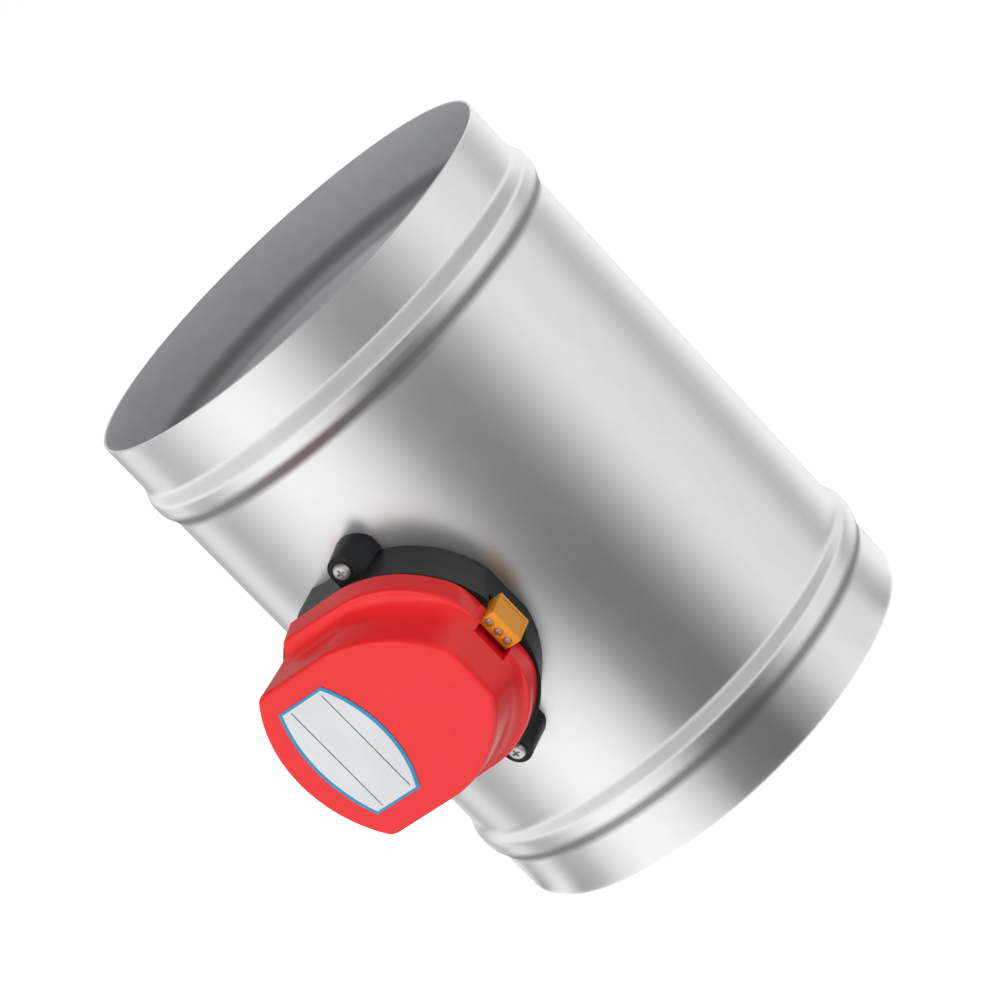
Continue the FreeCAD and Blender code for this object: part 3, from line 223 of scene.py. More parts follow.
def makeGrain(look):    # fine even grain: a height and a mask that varies round a half
    tree, start, end = socketGroup("fineGrain", [
        ("Vector", "NodeSocketVector", None), ("Size", "NodeSocketFloat", look["size"]),
        ("Stretch", "NodeSocketVector", (1, 1, 1))],
        [("Height", "NodeSocketFloat"), ("Variation", "NodeSocketFloat")])
    pull = tree.nodes.new("ShaderNodeVectorMath")
    pull.operation = "MULTIPLY"
    tree.links.new(start.outputs["Vector"], pull.inputs[0])
    tree.links.new(start.outputs["Stretch"], pull.inputs[1])
    fine = noiseNode(tree, pull.outputs["Vector"])
    tree.links.new(start.outputs["Size"], fine.inputs["Scale"])
    broad = noiseNode(tree, pull.outputs["Vector"], detail=2.0)
    broadScale = mathNode(tree, "MULTIPLY", start.outputs["Size"], look["broadSize"])
    tree.links.new(broadScale, broad.inputs["Scale"])
    tree.links.new(fine.outputs["Fac"], end.inputs["Height"])
    both = mathNode(tree, "ADD", mathNode(tree, "MULTIPLY", fine.outputs["Fac"], look["fineShare"]),
                    mathNode(tree, "MULTIPLY", broad.outputs["Fac"], look["broadShare"]))
    tree.links.new(both, end.inputs["Variation"])
    return tree


def makeHandling(look):    # faint rubbed patches from handling
    tree, start, end = socketGroup("handling", [
        ("Vector", "NodeSocketVector", None), ("Size", "NodeSocketFloat", look["size"]),
        ("Amount", "NodeSocketFloat", look["amount"])], [("Mask", "NodeSocketFloat")])
    patches = noiseNode(tree, start.outputs["Vector"], detail=5.0, roughness=0.65)
    tree.links.new(start.outputs["Size"], patches.inputs["Scale"])
    shaped = spread(tree, patches.outputs["Fac"], *look["from"])
    tree.links.new(mathNode(tree, "MULTIPLY", shaped, start.outputs["Amount"]), end.inputs["Mask"])
    return tree


def beadShadeMask(tree, height, look):    # one inside the narrow level bands where shade is painted, fading to none outside them
    half, fade = look["shadedBandHalf"], 0.6 * look["shadedBandHalf"]
    total = 0.0
    for centre in look["shadedBands"]:
        away = mathNode(tree, "ABSOLUTE", mathNode(tree, "SUBTRACT", height, centre))
        total = mathNode(tree, "ADD", spread(tree, away, half + fade, half - fade), total)
    return total


def mixColour(tree, factor, first, second):    # each of the two colours is a plain one or a socket
    node = tree.nodes.new("ShaderNodeMix")
    node.data_type = "RGBA"
    tree.links.new(factor, node.inputs["Factor"])
    for socket, value in (("A", first), ("B", second)):
        if isinstance(value, tuple):
            node.inputs[socket].default_value = (*value, 1)
        else:
            tree.links.new(value, node.inputs[socket])
    return node.outputs["Result"]


fineGrain = makeGrain(grainLook)
handling = makeHandling(handlingLook)


def finish(name, look):    # one dictionary of values makes one finished material
    material = bpy.data.materials.new(name)
    material.use_nodes = True
    tree = material.node_tree
    shader = tree.nodes["Principled BSDF"]
    where = tree.nodes.new("ShaderNodeTexCoord").outputs["Object"]
    grain = tree.nodes.new("ShaderNodeGroup")
    grain.node_tree = fineGrain
    grain.inputs["Size"].default_value = look["grainSize"]
    grain.inputs["Stretch"].default_value = look.get("stretch", (1, 1, 1))
    tree.links.new(where, grain.inputs["Vector"])
    wear = tree.nodes.new("ShaderNodeGroup")
    wear.node_tree = handling
    wear.inputs["Size"].default_value = look.get("wearSize", 35.0)
    wear.inputs["Amount"].default_value = look.get("wear", 0.4)
    tree.links.new(where, wear.inputs["Vector"])

    toneFactor = spread(tree, grain.outputs["Variation"], *grainLook["toneFrom"])
    colour = mixColour(tree, toneFactor, look["dark"], look["light"])
    worn = mathNode(tree, "MULTIPLY", wear.outputs["Mask"], look.get("wearRough", 0.08))
    least, most = look["roughness"] - look["roughSpread"], look["roughness"] + look["roughSpread"]
    rough = spread(tree, grain.outputs["Variation"], *grainLook["roughFrom"], least, most)
    rough = mathNode(tree, "ADD", rough, worn)
    if "rubbed" in look:
        colour = mixColour(tree, wear.outputs["Mask"], colour, look["rubbed"])
    if "shadedBands" in look:    # painted shade: darker where the rolled beads turn down, and duller there too
        axes = tree.nodes.new("ShaderNodeSeparateXYZ")
        tree.links.new(where, axes.inputs[0])
        inShadedBand = beadShadeMask(tree, axes.outputs["Z"], look)
        colour = mixColour(tree, inShadedBand, colour, look["paintedShadeTone"])
        rough = mathNode(tree, "ADD", rough, mathNode(tree, "MULTIPLY", inShadedBand, look["shadedBandRough"]))
    tree.links.new(colour, shader.inputs["Base Color"])
    tree.links.new(rough, shader.inputs["Roughness"])
    shader.inputs["Metallic"].default_value = look.get("metallic", 0.0)
    shader.inputs["Specular IOR Level"].default_value = look.get("specular", 0.5)

    bump = tree.nodes.new("ShaderNodeBump")
    bump.inputs["Strength"].default_value = look["bump"]
    bump.inputs["Distance"].default_value = grainLook["depth"] * mm
    tree.links.new(grain.outputs["Height"], bump.inputs["Height"])
    tree.links.new(bump.outputs["Normal"], shader.inputs["Normal"])
    return material


finishes = {
    # the darker bands of the two sheet finishes are painted shade on the slopes of the rolled beads
    "galvanised_sheet": {"dark": (0.91, 0.91, 0.92), "light": (0.94, 0.94, 0.95), "roughness": 0.29,
                         "roughSpread": 0.01, "metallic": 0.87, "grainSize": 3200.0, "bump": 0.06,
                         "wear": 0.05, "wearSize": 14.0, "wearRough": 0.03, "shadedBandRough": 0.25,
                         "shadedBands": (0.0196, 0.1656), "shadedBandHalf": 0.0019, "paintedShadeTone": (0.36, 0.36, 0.37)},
    "sheet_inside": {"dark": (0.8, 0.805, 0.82), "light": (0.87, 0.875, 0.89), "roughness": 0.5,
                     "roughSpread": 0.03, "metallic": 0.85, "grainSize": 3200.0, "bump": 0.08,
                     "wear": 0.15, "wearSize": 14.0, "wearRough": 0.03, "shadedBandRough": 0.1,
                     "shadedBands": (0.0284, 0.1744), "shadedBandHalf": 0.0023, "paintedShadeTone": (0.62, 0.62, 0.63)},
    "bright_steel": {"dark": (0.55, 0.55, 0.56), "light": (0.66, 0.66, 0.67), "roughness": 0.24,
                     "roughSpread": 0.06, "metallic": 1.0, "grainSize": 1800.0, "bump": 0.12,
                     "stretch": (1, 6, 1)},
    "zinc_fastener": {"dark": (0.66, 0.66, 0.65), "light": (0.78, 0.78, 0.76), "roughness": 0.4,
                      "roughSpread": 0.06, "metallic": 0.8, "grainSize": 2500.0, "bump": 0.12},
    "aluminium_rivet": {"dark": (0.7, 0.7, 0.71), "light": (0.8, 0.8, 0.81), "roughness": 0.36,
                        "roughSpread": 0.06, "metallic": 1.0, "grainSize": 2600.0, "bump": 0.12},
    "nylon_natural": {"dark": (0.74, 0.72, 0.65), "light": (0.82, 0.8, 0.73), "roughness": 0.45,
                      "roughSpread": 0.05, "grainSize": 1500.0, "bump": 0.08},
    "black_rubber": {"dark": (0.014, 0.014, 0.014), "light": (0.024, 0.024, 0.024), "roughness": 0.66,
                     "roughSpread": 0.08, "grainSize": 1800.0, "bump": 0.2},
    "black_plastic": {"dark": (0.012, 0.013, 0.0145), "light": (0.018, 0.0195, 0.021), "roughness": 0.42,
                      "roughSpread": 0.05, "grainSize": 2600.0, "bump": 0.12, "specular": 0.2,
                      "rubbed": (0.03, 0.032, 0.034), "wear": 0.2},
    "gear_acetal": {"dark": (0.78, 0.78, 0.74), "light": (0.86, 0.86, 0.83), "roughness": 0.38,
                    "roughSpread": 0.05, "grainSize": 1500.0, "bump": 0.06},
    "brass": {"dark": (0.62, 0.46, 0.2), "light": (0.74, 0.57, 0.28), "roughness": 0.27,
              "roughSpread": 0.06, "metallic": 1.0, "grainSize": 2500.0, "bump": 0.1},
    "red_plastic": {"dark": (0.86, 0.019, 0.021), "light": (0.9, 0.023, 0.026), "roughness": 0.24,
                    "roughSpread": 0.03, "grainSize": 2400.0, "bump": 0.04,
                    "rubbed": (0.8, 0.03, 0.032), "wear": 0.1},
    "orange_plastic": {"dark": (0.82, 0.3, 0.018), "light": (0.88, 0.36, 0.03), "roughness": 0.4,
                       "roughSpread": 0.05, "grainSize": 2600.0, "bump": 0.06},
    "label_film": {"dark": (0.7, 0.71, 0.72), "light": (0.76, 0.77, 0.78), "roughness": 0.33,
                   "roughSpread": 0.03, "grainSize": 1200.0, "bump": 0.03},
    "board_green": {"dark": (0.02, 0.12, 0.05), "light": (0.03, 0.16, 0.07), "roughness": 0.35,
                    "roughSpread": 0.05, "grainSize": 900.0, "bump": 0.06},
    "component_black": {"dark": (0.02, 0.02, 0.022), "light": (0.035, 0.035, 0.037), "roughness": 0.45,
                        "roughSpread": 0.05, "grainSize": 2600.0, "bump": 0.1},
}
materials = {name: finish(name, look) for name, look in finishes.items()}
nodeSlots = {row["node"]: row["material_slot"] for row in frame["record"]["subparts"]}
for node, item in frame["nodes"].items():
    item.data.materials.clear()
    item.data.materials.append(materials[nodeSlots[node]])
print("materials made:", len(materials))


def fit(piece, body, slot, *nodes):    # ride, finish and replacement of a made piece in one place
    if not piece.data.materials:
        piece.data.materials.append(materials[slot])
    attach(piece, body)
    if nodes:
        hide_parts(*nodes)
    return piece


def geometryTree(name, inputs):
    tree = bpy.data.node_groups.new(name, "GeometryNodeTree")
    tree.interface.new_socket("Geometry", in_out="INPUT", socket_type="NodeSocketGeometry")
    for label, kind, default in inputs:
        socket = tree.interface.new_socket(label, in_out="INPUT", socket_type=kind)
        if default is not None:
            socket.default_value = default
    tree.interface.new_socket("Geometry", in_out="OUTPUT", socket_type="NodeSocketGeometry")
    return tree, tree.nodes.new("NodeGroupInput"), tree.nodes.new("NodeGroupOutput")


def lastSteps(tree, start, end, geometry):    # every tree ends in realized instances and a material
    real = tree.nodes.new("GeometryNodeRealizeInstances")
    paint = tree.nodes.new("GeometryNodeSetMaterial")
    tree.links.new(geometry, real.inputs["Geometry"])
    tree.links.new(real.outputs["Geometry"], paint.inputs["Geometry"])
    tree.links.new(start.outputs["Material"], paint.inputs["Material"])
    tree.links.new(paint.outputs["Geometry"], end.inputs["Geometry"])


def grow(piece, tree, values):    # runs a tree on the piece's own mesh and keeps the plain result
    step = piece.modifiers.new(tree.name, "NODES")
    step.node_group = tree
    for item in tree.interface.items_tree:
        if item.item_type == "SOCKET" and item.in_out == "INPUT" and item.name in values:
            step[item.identifier] = values[item.name]
    return settle(piece)


def makeSpinTree():    # sweeps the piece's closed profile round the duct axis
    tree, start, end = geometryTree("spunSheet", [
        ("Radius", "NodeSocketFloat", 0.07), ("Segments", "NodeSocketInt", 192),
        ("Material", "NodeSocketMaterial", None)])
    profile = tree.nodes.new("GeometryNodeMeshToCurve")
    ring = tree.nodes.new("GeometryNodeCurvePrimitiveCircle")
    ring.mode = "RADIUS"
    sweep = tree.nodes.new("GeometryNodeCurveToMesh")
    tree.links.new(start.outputs["Geometry"], profile.inputs["Mesh"])
    tree.links.new(start.outputs["Radius"], ring.inputs["Radius"])
    tree.links.new(start.outputs["Segments"], ring.inputs["Resolution"])
    tree.links.new(ring.outputs["Curve"], sweep.inputs["Curve"])
    tree.links.new(profile.outputs["Curve"], sweep.inputs["Profile Curve"])
    lastSteps(tree, start, end, sweep.outputs["Mesh"])
    return tree


def makeRowTree():    # copies of the piece in a row
    tree, start, end = geometryTree("rowOfCopies", [
        ("Count", "NodeSocketInt", 2), ("First", "NodeSocketVector", None),
        ("Step", "NodeSocketVector", None), ("Material", "NodeSocketMaterial", None)])
    line = tree.nodes.new("GeometryNodeMeshLine")
    copies = tree.nodes.new("GeometryNodeInstanceOnPoints")
    tree.links.new(start.outputs["Count"], line.inputs["Count"])
    tree.links.new(start.outputs["First"], line.inputs["Start Location"])
    tree.links.new(start.outputs["Step"], line.inputs["Offset"])
    tree.links.new(line.outputs["Mesh"], copies.inputs["Points"])
    tree.links.new(start.outputs["Geometry"], copies.inputs["Instance"])
    lastSteps(tree, start, end, copies.outputs["Instances"])
    return tree


def makeRingTree():    # copies of the piece on a ring round the duct axis
    tree, start, end = geometryTree("ringOfCopies", [
        ("Count", "NodeSocketInt", 8), ("Radius", "NodeSocketFloat", 0.066),
        ("Height", "NodeSocketFloat", 0.1), ("First Angle", "NodeSocketFloat", 0.4),
        ("Material", "NodeSocketMaterial", None)])
    ring = tree.nodes.new("GeometryNodeMeshCircle")
    turned = tree.nodes.new("GeometryNodeTransform")
    place = tree.nodes.new("ShaderNodeCombineXYZ")
    turn = tree.nodes.new("ShaderNodeCombineXYZ")
    copies = tree.nodes.new("GeometryNodeInstanceOnPoints")
    tree.links.new(start.outputs["Count"], ring.inputs["Vertices"])
    tree.links.new(start.outputs["Radius"], ring.inputs["Radius"])
    tree.links.new(start.outputs["Height"], place.inputs["Z"])
    tree.links.new(start.outputs["First Angle"], turn.inputs["Z"])
    tree.links.new(ring.outputs["Mesh"], turned.inputs["Geometry"])
    tree.links.new(place.outputs["Vector"], turned.inputs["Translation"])
    tree.links.new(turn.outputs["Vector"], turned.inputs["Rotation"])
    tree.links.new(turned.outputs["Geometry"], copies.inputs["Points"])
    tree.links.new(start.outputs["Geometry"], copies.inputs["Instance"])
    lastSteps(tree, start, end, copies.outputs["Instances"])
    return tree


spinTree = makeSpinTree()
rowTree = makeRowTree()
ringTree = makeRingTree()


casingLook = {"beadOffset": 17.5, "beadSlope": 4.2, "beadCrest": 4.6, "beadHeight": 2.0,
              "footRound": 6.0, "crestRound": 5.5, "rimRound": 0.18, "segments": 200,
              "bushHole": 6.02, "bushReach": 90.0, "insideFacing": -0.2}


def heading(direction):
    return math.atan2(direction[1], direction[0])


def clamped(value):
    return min(max(value, 0.0), 1.0)


def roundedLine(corners, steps=6):    # corners are (radius, height, rounding); returns the line with arcs
    line = []
    for i, (r, z, rounding) in enumerate(corners):
        here = Vector((r, z))
        if rounding <= 0 or i in (0, len(corners) - 1):
            line.append(here)
            continue
        back = Vector(corners[i - 1][:2]) - here
        on = Vector(corners[i + 1][:2]) - here
        back.normalize()
        on.normalize()
        half = back.angle(on) / 2
        reach = rounding / math.tan(half)
        first, last = here + back * reach, here + on * reach
        centre = here + (back + on).normalized() * (rounding / math.sin(half))
        a0 = heading(first - centre)
        swing = math.remainder(heading(last - centre) - a0, 2 * math.pi)
        for k in range(steps + 1):
            turn = a0 + swing * k / steps
            line.append(centre + Vector((math.cos(turn), math.sin(turn))) * rounding)
    return line


def casingPiece(look):
    radius, length = duct["radius"], duct["length"]
    crest = radius + look["beadHeight"]
    heights = [look["beadOffset"], look["beadOffset"] + look["beadSlope"],
               look["beadOffset"] + look["beadSlope"] + look["beadCrest"],
               look["beadOffset"] + 2 * look["beadSlope"] + look["beadCrest"]]
    corners = [(radius, 0, 0)]
    corners += [(radius, heights[0], look["footRound"]), (crest, heights[1], look["crestRound"]),
                (crest, heights[2], look["crestRound"]), (radius, heights[3], look["footRound"])]
    corners += [(r, length - z, rounding) for r, z, rounding in reversed(corners[1:])]
    corners.append((radius, length, 0))
    outer = roundedLine(corners)
    inner = []
    for i, point in enumerate(outer):    # the inner skin runs parallel, one gauge inside
        before = outer[max(i - 1, 0)]
        after = outer[min(i + 1, len(outer) - 1)]
        along = (after - before).normalized()
        inner.append(point + Vector((-along[1], along[0])) * duct["gauge"])
    cutBack = look["rimRound"]
    outer[0] += Vector((0, cutBack))
    outer[-1] -= Vector((0, cutBack))
    inner[0] += Vector((0, cutBack))
    inner[-1] -= Vector((0, cutBack))
    lowRim = [Vector((inner[0][0] + cutBack, 0)), Vector((outer[0][0] - cutBack, 0))]
    topRim = [Vector((outer[-1][0] - cutBack, length)), Vector((inner[-1][0] + cutBack, length))]
    loop = outer + topRim + inner[::-1] + lowRim
    points = [((r - radius) * mm, -z * mm, 0) for r, z in loop]    # the sweep turns the profile's Y down
    data = bpy.data.meshes.new("duct_casing")
    data.from_pydata(points, [(i, (i + 1) % len(points)) for i in range(len(points))], [])
    piece = bpy.data.objects.new("duct_casing", data)
    bpy.context.scene.collection.objects.link(piece)
    grow(piece, spinTree, {"Radius": radius * mm, "Segments": look["segments"],
                           "Material": materials["galvanised_sheet"]})
    tidyNormals(piece)
    reach = look["bushReach"]
    bushHoles = roundBar("bushHoles", look["bushHole"] * mm, onDuct(0, 0, reach), onDuct(0, 0, -reach))
    combine(piece, bushHoles, "DIFFERENCE")
    smooth(piece)
    piece.data.materials.append(materials["sheet_inside"])
    for face in piece.data.polygons:    # what faces the axis is the duller inside
        outward = Vector((face.center.x, face.center.y, 0)).dot(face.normal)
        if outward < look["insideFacing"] * radius * mm:
            face.material_index = 1
    return piece


fit(casingPiece(casingLook), "housing", "galvanised_sheet", "casing")
print("casing made")


coverLook = {
    "flange": {"side": 34.5, "sideBack": 34.5, "corner": 21.5, "shoulder": 2, "flat": 30.6, "flatSide": 14.3,
               "nose": 38.4, "back": 41.2, "drop": -0.7, "backWindow": 2, "noseWindow": 11},
    "ledge": {"side": 32.9, "sideBack": 33.6, "corner": 22.4, "shoulder": 0, "flat": 30.6, "flatSide": 12.3,
              "nose": 33, "back": 43.5, "drop": -0.5, "backWindow": 2, "noseWindow": 11},
    "head": {"side": 29.6, "sideBack": 29.6, "corner": 26.9, "shoulder": 0, "flat": 30.2, "flatSide": 10.4,
             "nose": 50, "back": 41.1, "drop": 0.2, "backWindow": 2, "noseWindow": 10},
    "face": {"side": 28.6, "sideBack": 28.6, "corner": 34.5, "shoulder": 8, "flat": 25.4, "flatSide": 8.5,
             "nose": 43, "back": 42.6, "drop": 0.7, "backWindow": 3.5, "noseWindow": 5},
    "bottom": 92.2, "ledgeLevel": 99.5, "faceLevel": 112.1, "wall": 1.6,
    "ledgeRound": 0.9, "hollowReach": 3.4, "hollowRise": 5.0, "hollowShare": 0.66,
    "rimShare": 0.28, "leastRoom": 0.35, "faceRound": 1.3, "rimRound": 0.25, "insideStep": 0.05,
    "smoothBelow": 35,
}
outlineSteps = {"flat": 12, "nose": 44, "side": 20, "back": 72, "softFrom": -5, "softOver": 15}


def arcBetween(start, end, radius, count):    # arc that bulges to the right of start to end
    start, end = Vector(start), Vector(end)
    chord = end - start
    middlePoint = (start + end) / 2
    left = Vector((-chord[1], chord[0])).normalized()
    depth = math.sqrt(max(radius ** 2 - (chord.length / 2) ** 2, 0))
    centre = middlePoint + left * depth
    a0 = heading(start - centre)
    a1 = heading(end - centre)
    if a1 < a0:
        a1 += 2 * math.pi
    return [centre + Vector((math.cos(a0 + (a1 - a0) * k / count),
                             math.sin(a0 + (a1 - a0) * k / count))) * radius for k in range(count)]


def lineBetween(start, end, count):
    start, end = Vector(start), Vector(end)
    return [start + (end - start) * k / count for k in range(count)]


def outlineOf(shape):    # counterclockwise from the middle of the nose flat, the same count for any shape
    flat, flatSide, side, sideBack = shape["flat"], shape["flatSide"], shape["side"], shape["sideBack"]
    corner, shoulder = shape["corner"], shape["shoulder"]
    steps = outlineSteps
    line = lineBetween((flat, 0), (flat, flatSide), steps["flat"])
    line += arcBetween((flat, flatSide), (-shoulder, side), shape["nose"], steps["nose"])
    line += lineBetween((-shoulder, side), (-corner, sideBack), steps["side"])
    line += arcBetween((-corner, sideBack), (-corner, -sideBack), shape["back"], steps["back"])
    line += lineBetween((-corner, -sideBack), (-shoulder, -side), steps["side"])
    line += arcBetween((-shoulder, -side), (flat, -flatSide), shape["nose"], steps["nose"])
    line += lineBetween((flat, -flatSide), (flat, 0), steps["flat"])
    return softened([point - Vector((0, shape["drop"])) for point in line], shape)


def softened(line, shape):    # rounds the corners by a running mean along the outline
    count = len(line)
    lengths = [(line[(i + 1) % count] - line[i]).length for i in range(count)]
    result = []
    for i in range(count):
        total = Vector((0, 0))
        weight = 0.0
        toNose = clamped((line[i][0] - outlineSteps["softFrom"]) / outlineSteps["softOver"])
        window = shape["backWindow"] + (shape["noseWindow"] - shape["backWindow"]) * toNose
        for direction in (1, -1):
            left, k = window / 2, i
            while left > 0:
                edge = lengths[k % count] if direction == 1 else lengths[(k - 1) % count]
                following = (k + direction) % count
                run = min(edge, left)
                a = line[k % count]
                b = a + (line[following] - a) * (run / edge)
                total += (a + b) / 2 * run
                weight += run
                left -= run
                k = following
        result.append(total / weight)
    return result


def shrunk(line, amounts):    # moves the outline inward by an amount, one number or one for each point
    count = len(line)
    if isinstance(amounts, (int, float)):
        amounts = [amounts] * count
    moved = []
    for i in range(count):
        along = (line[(i + 1) % count] - line[i - 1]).normalized()
        moved.append(line[i] + Vector((-along[1], along[0])) * amounts[i])
    return moved


def mixed(first, second, share):
    return [a + (b - a) * share for a, b in zip(first, second)]


def shellOf(name, outerRings, innerRings=None):    # closed solid from rings of (outline, level)
    points = []
    faces = []
    stacks = []
    for rings in (outerRings, innerRings or []):
        stack = []
        for line, level in rings:
            stack.append(range(len(points), len(points) + len(line)))
            points += [onDuct(p[0], p[1], level) for p in line]
        stacks.append(stack)
    count = len(outerRings[0][0])
    for stack in stacks:
        for low, high in zip(stack, stack[1:]):
            faces += [(low[i], low[(i + 1) % count], high[(i + 1) % count], high[i]) for i in range(count)]
        if stack:
            faces.append(tuple(stack[-1]))
    if innerRings:
        low, high = stacks[0][0], stacks[1][0]
        faces += [(low[i], low[(i + 1) % count], high[(i + 1) % count], high[i]) for i in range(count)]
    else:
        faces.append(tuple(stacks[0][0]))
    return tidyNormals(meshObject(name, points, faces))


def quarter(steps):
    return [math.pi / 2 * k / steps for k in range(steps + 1)]


def insideBy(point, line):    # how far the point lies inside a closed line, less than zero outside it
    return min((b - a).normalized().cross(point - a) for a, b in zip(line, line[1:] + line[:1]))


def coverPiece(look):
    flange, ledge, head, face = (outlineOf(look[key]) for key in ("flange", "ledge", "head", "face"))
    low, step, top = look["bottom"], look["ledgeLevel"], look["faceLevel"]
    head = shrunk(head, [max(0.0, look["leastRoom"] - insideBy(p, ledge)) for p in head])
    rims = [min(look["ledgeRound"], look["rimShare"] * max(0.0, -insideBy(p, head))) for p in ledge]
    hollows = [min(look["hollowReach"], look["hollowShare"] * max(0.0, insideBy(p, ledge))) for p in head]
    rings = [(shrunk(flange, look["rimRound"]), low), (flange, low + look["rimRound"])]
    deepest = look["ledgeRound"]
    for a in quarter(4):
        level = step - deepest + deepest * math.sin(a)
        share = (level - low) / (step - low)
        rings.append((shrunk(mixed(flange, ledge, share), [r * (1 - math.cos(a)) for r in rims]), level))
    for a in quarter(8):
        level = step + look["hollowRise"] * (1 - math.cos(a))
        share = (level - step) / (top - step)
        rings.append((shrunk(mixed(head, face, share), [-h * (1 - math.sin(a)) for h in hollows]), level))
    edge = look["faceRound"]
    for a in quarter(5):
        level = top - edge + edge * math.sin(a)
        share = (level - step) / (top - step)
        rings.append((shrunk(mixed(head, face, share), edge * (1 - math.cos(a))), level))
    wall = look["wall"]
    inside = [(shrunk(flange, wall), low), (shrunk(ledge, wall), step - wall),
              (shrunk(head, wall), step - wall + look["insideStep"]), (shrunk(face, wall), top - wall)]
    return rings, inside


recessLook = {"depth": 1.7, "side": 6.1, "top": 102.3, "wall": 1.2, "innerX": 28.8, "outerX": 40,
              "edgeRound": 0.3, "lift": 0.01, "below": 1}


def finishedCover(look, recess):
    rings, inside = coverPiece(look)
    cover = shellOf("actuator_cover", rings, inside)
    solid = shellOf("coverSolid", rings)
    back = recess["innerX"] - recess["depth"]
    side, wall = recess["side"], recess["wall"]
    liner = boxPiece("liner", (back - wall, -side - wall, look["bottom"] + recess["lift"]),
                     (recess["outerX"], side + wall, recess["top"] + wall))
    combine(liner, solid, "INTERSECT")
    combine(cover, liner, "UNION")
    pocket = boxPiece("pocket", (back, -side, look["bottom"] - recess["below"]),
                      (recess["outerX"], side, recess["top"]))
    combine(cover, roundEdges(pocket, recess["edgeRound"]), "DIFFERENCE")
    return smooth(cover, look["smoothBelow"])


fit(finishedCover(coverLook, recessLook), "housing", "red_plastic", "cover")
print("cover made")


baseLook = {"rim": 92.2, "taper": 20.0, "noseFrom": 8.0, "noseReach": 20.0, "nosePull": 2.2,
            "nosePinch": 0.05, "backFrom": 15.0, "backReach": 8.0, "backRise": 12.0, "backPull": 0.045,
            "seat": 75.2, "flatness": 0.05, "edgeRound": 0.5, "roundSteps": 3, "roundAbove": 35}


def slimBase(piece, look):    # draws the nose in towards the duct and the back corners in under the cover
    for vertex in piece.data.vertices:
        x, w, u = vertex.co.x / mm, -vertex.co.y / mm, vertex.co.z / mm - middle
        fromAxis = math.hypot(x, w)
        nose = clamped((x - look["noseFrom"]) / look["noseReach"])
        nose *= clamped((look["rim"] - w) / look["taper"])
        back = clamped((-x - look["backFrom"]) / look["backReach"])
        back *= clamped((w - look["rim"] + look["backRise"]) / look["backRise"])
        x = (x - nose * look["nosePull"]) * (1 - back * look["backPull"])
        u *= (1 - nose * look["nosePinch"]) * (1 - back * look["backPull"])
        if fromAxis < look["seat"]:    # what lies on the duct stays on it
            w = math.sqrt(fromAxis ** 2 - x ** 2)
        vertex.co = onDuct(x, u, w)
    return piece


base = slimBase(nodeCopy("actuator_base", "actuator_tray", baseLook["flatness"]), baseLook)
roundEdges(base, baseLook["edgeRound"], baseLook["roundSteps"], baseLook["roundAbove"])
fit(smooth(base), "housing", "black_plastic", "actuator_base")
print("base made")


labelLook = {"near": 14.8, "far": 32.3, "half": 20.8, "nearArc": 38.9, "farArc": 47.9,
             "arcSteps": 40, "endSteps": 16, "low": 112.1, "thick": 0.3,
             "border": 0.85, "borderColour": (0.02, 0.3, 0.56),
             "rules": ((16.6, 18.6), (28.6, 19.2)), "ruleWidth": 0.3, "ruleRaise": 0.02, "ruleSunk": 0.1}


def labelOutline(look, inset):
    near, far, half = look["near"] + inset, look["far"] - inset, look["half"] - inset
    line = arcBetween((-near, -half), (-near, half), look["nearArc"] - inset, look["arcSteps"])
    line += lineBetween((-near, half), (-far, half), look["endSteps"])
    line += arcBetween((-far, half), (-far, -half), look["farArc"] - inset, look["arcSteps"])
    line += lineBetween((-far, -half), (-near, -half), look["endSteps"])
    return line


def printColour(name, colour):
    return finish(name, {"dark": tuple(0.92 * c for c in colour), "light": colour, "roughness": 0.35,
                         "roughSpread": 0.03, "grainSize": 1500.0, "bump": 0.03})


def labelPiece(look):
    outer, inner = labelOutline(look, 0), labelOutline(look, look["border"])
    low, top = look["low"], look["low"] + look["thick"] - look["ruleRaise"]
    count = len(outer)
    points = [onDuct(p[0], p[1], low) for p in outer] + [onDuct(p[0], p[1], top) for p in outer]
    points += [onDuct(p[0], p[1], top) for p in inner]
    faces = [tuple(range(count))[::-1]]
    for first in (0, count):
        faces += [(first + i, first + (i + 1) % count, first + count + (i + 1) % count, first + count + i)
                  for i in range(count)]
    faces.append(tuple(range(2 * count, 3 * count)))
    piece = tidyNormals(meshObject("label", points, faces))
    piece.data.materials.append(materials["label_film"])
    piece.data.materials.append(printColour("label_border", look["borderColour"]))
    for polygon in piece.data.polygons:    # the wide front face is film, the rest is border
        front = len(polygon.vertices) > 4 and abs(polygon.center.y + top * mm) < meshCare["shortest"]
        polygon.material_index = 0 if front else 1
    for x, half in look["rules"]:    # two plain ruled lines, slightly raised
        rule = boxPiece("rule", (-x - look["ruleWidth"] / 2, -half, top - look["ruleSunk"]),
                        (-x + look["ruleWidth"] / 2, half, top + look["ruleRaise"]))
        rule.data.materials.append(materials["component_black"])
        combine(piece, rule, "UNION", "TRANSFER")
    return piece


fit(labelPiece(labelLook), "housing", "label_film", "label_plate")
print("label made")


blockLook = {"edgeRound": 0.18, "roundSteps": 2, "roundAbove": 35}
block = nodeCopy("terminal_block", "wire_terminal")
roundEdges(block, blockLook["edgeRound"], blockLook["roundSteps"], blockLook["roundAbove"])
fit(smooth(block), "housing", "orange_plastic", "terminal_block")

terminalScrewLook = {"head": 2.3, "height": 0.85, "shank": 1.5, "length": 5, "count": 3, "pitch": 3.81,
                     "x": 31.1, "seat": 96.0, "slot": 0.4, "slotFloor": 0.5}


def rowUp(piece, look, x, low):    # the piece turned to face outward, then repeated up the duct
    piece.data.transform(Matrix.Rotation(math.radians(90), 4, "X"))
    grow(piece, rowTree, {"Count": look["count"], "First": tuple(onDuct(x, low, look["seat"])),
                          "Step": (0, 0, look["pitch"] * mm), "Material": materials["zinc_fastener"]})
    return smooth(piece)


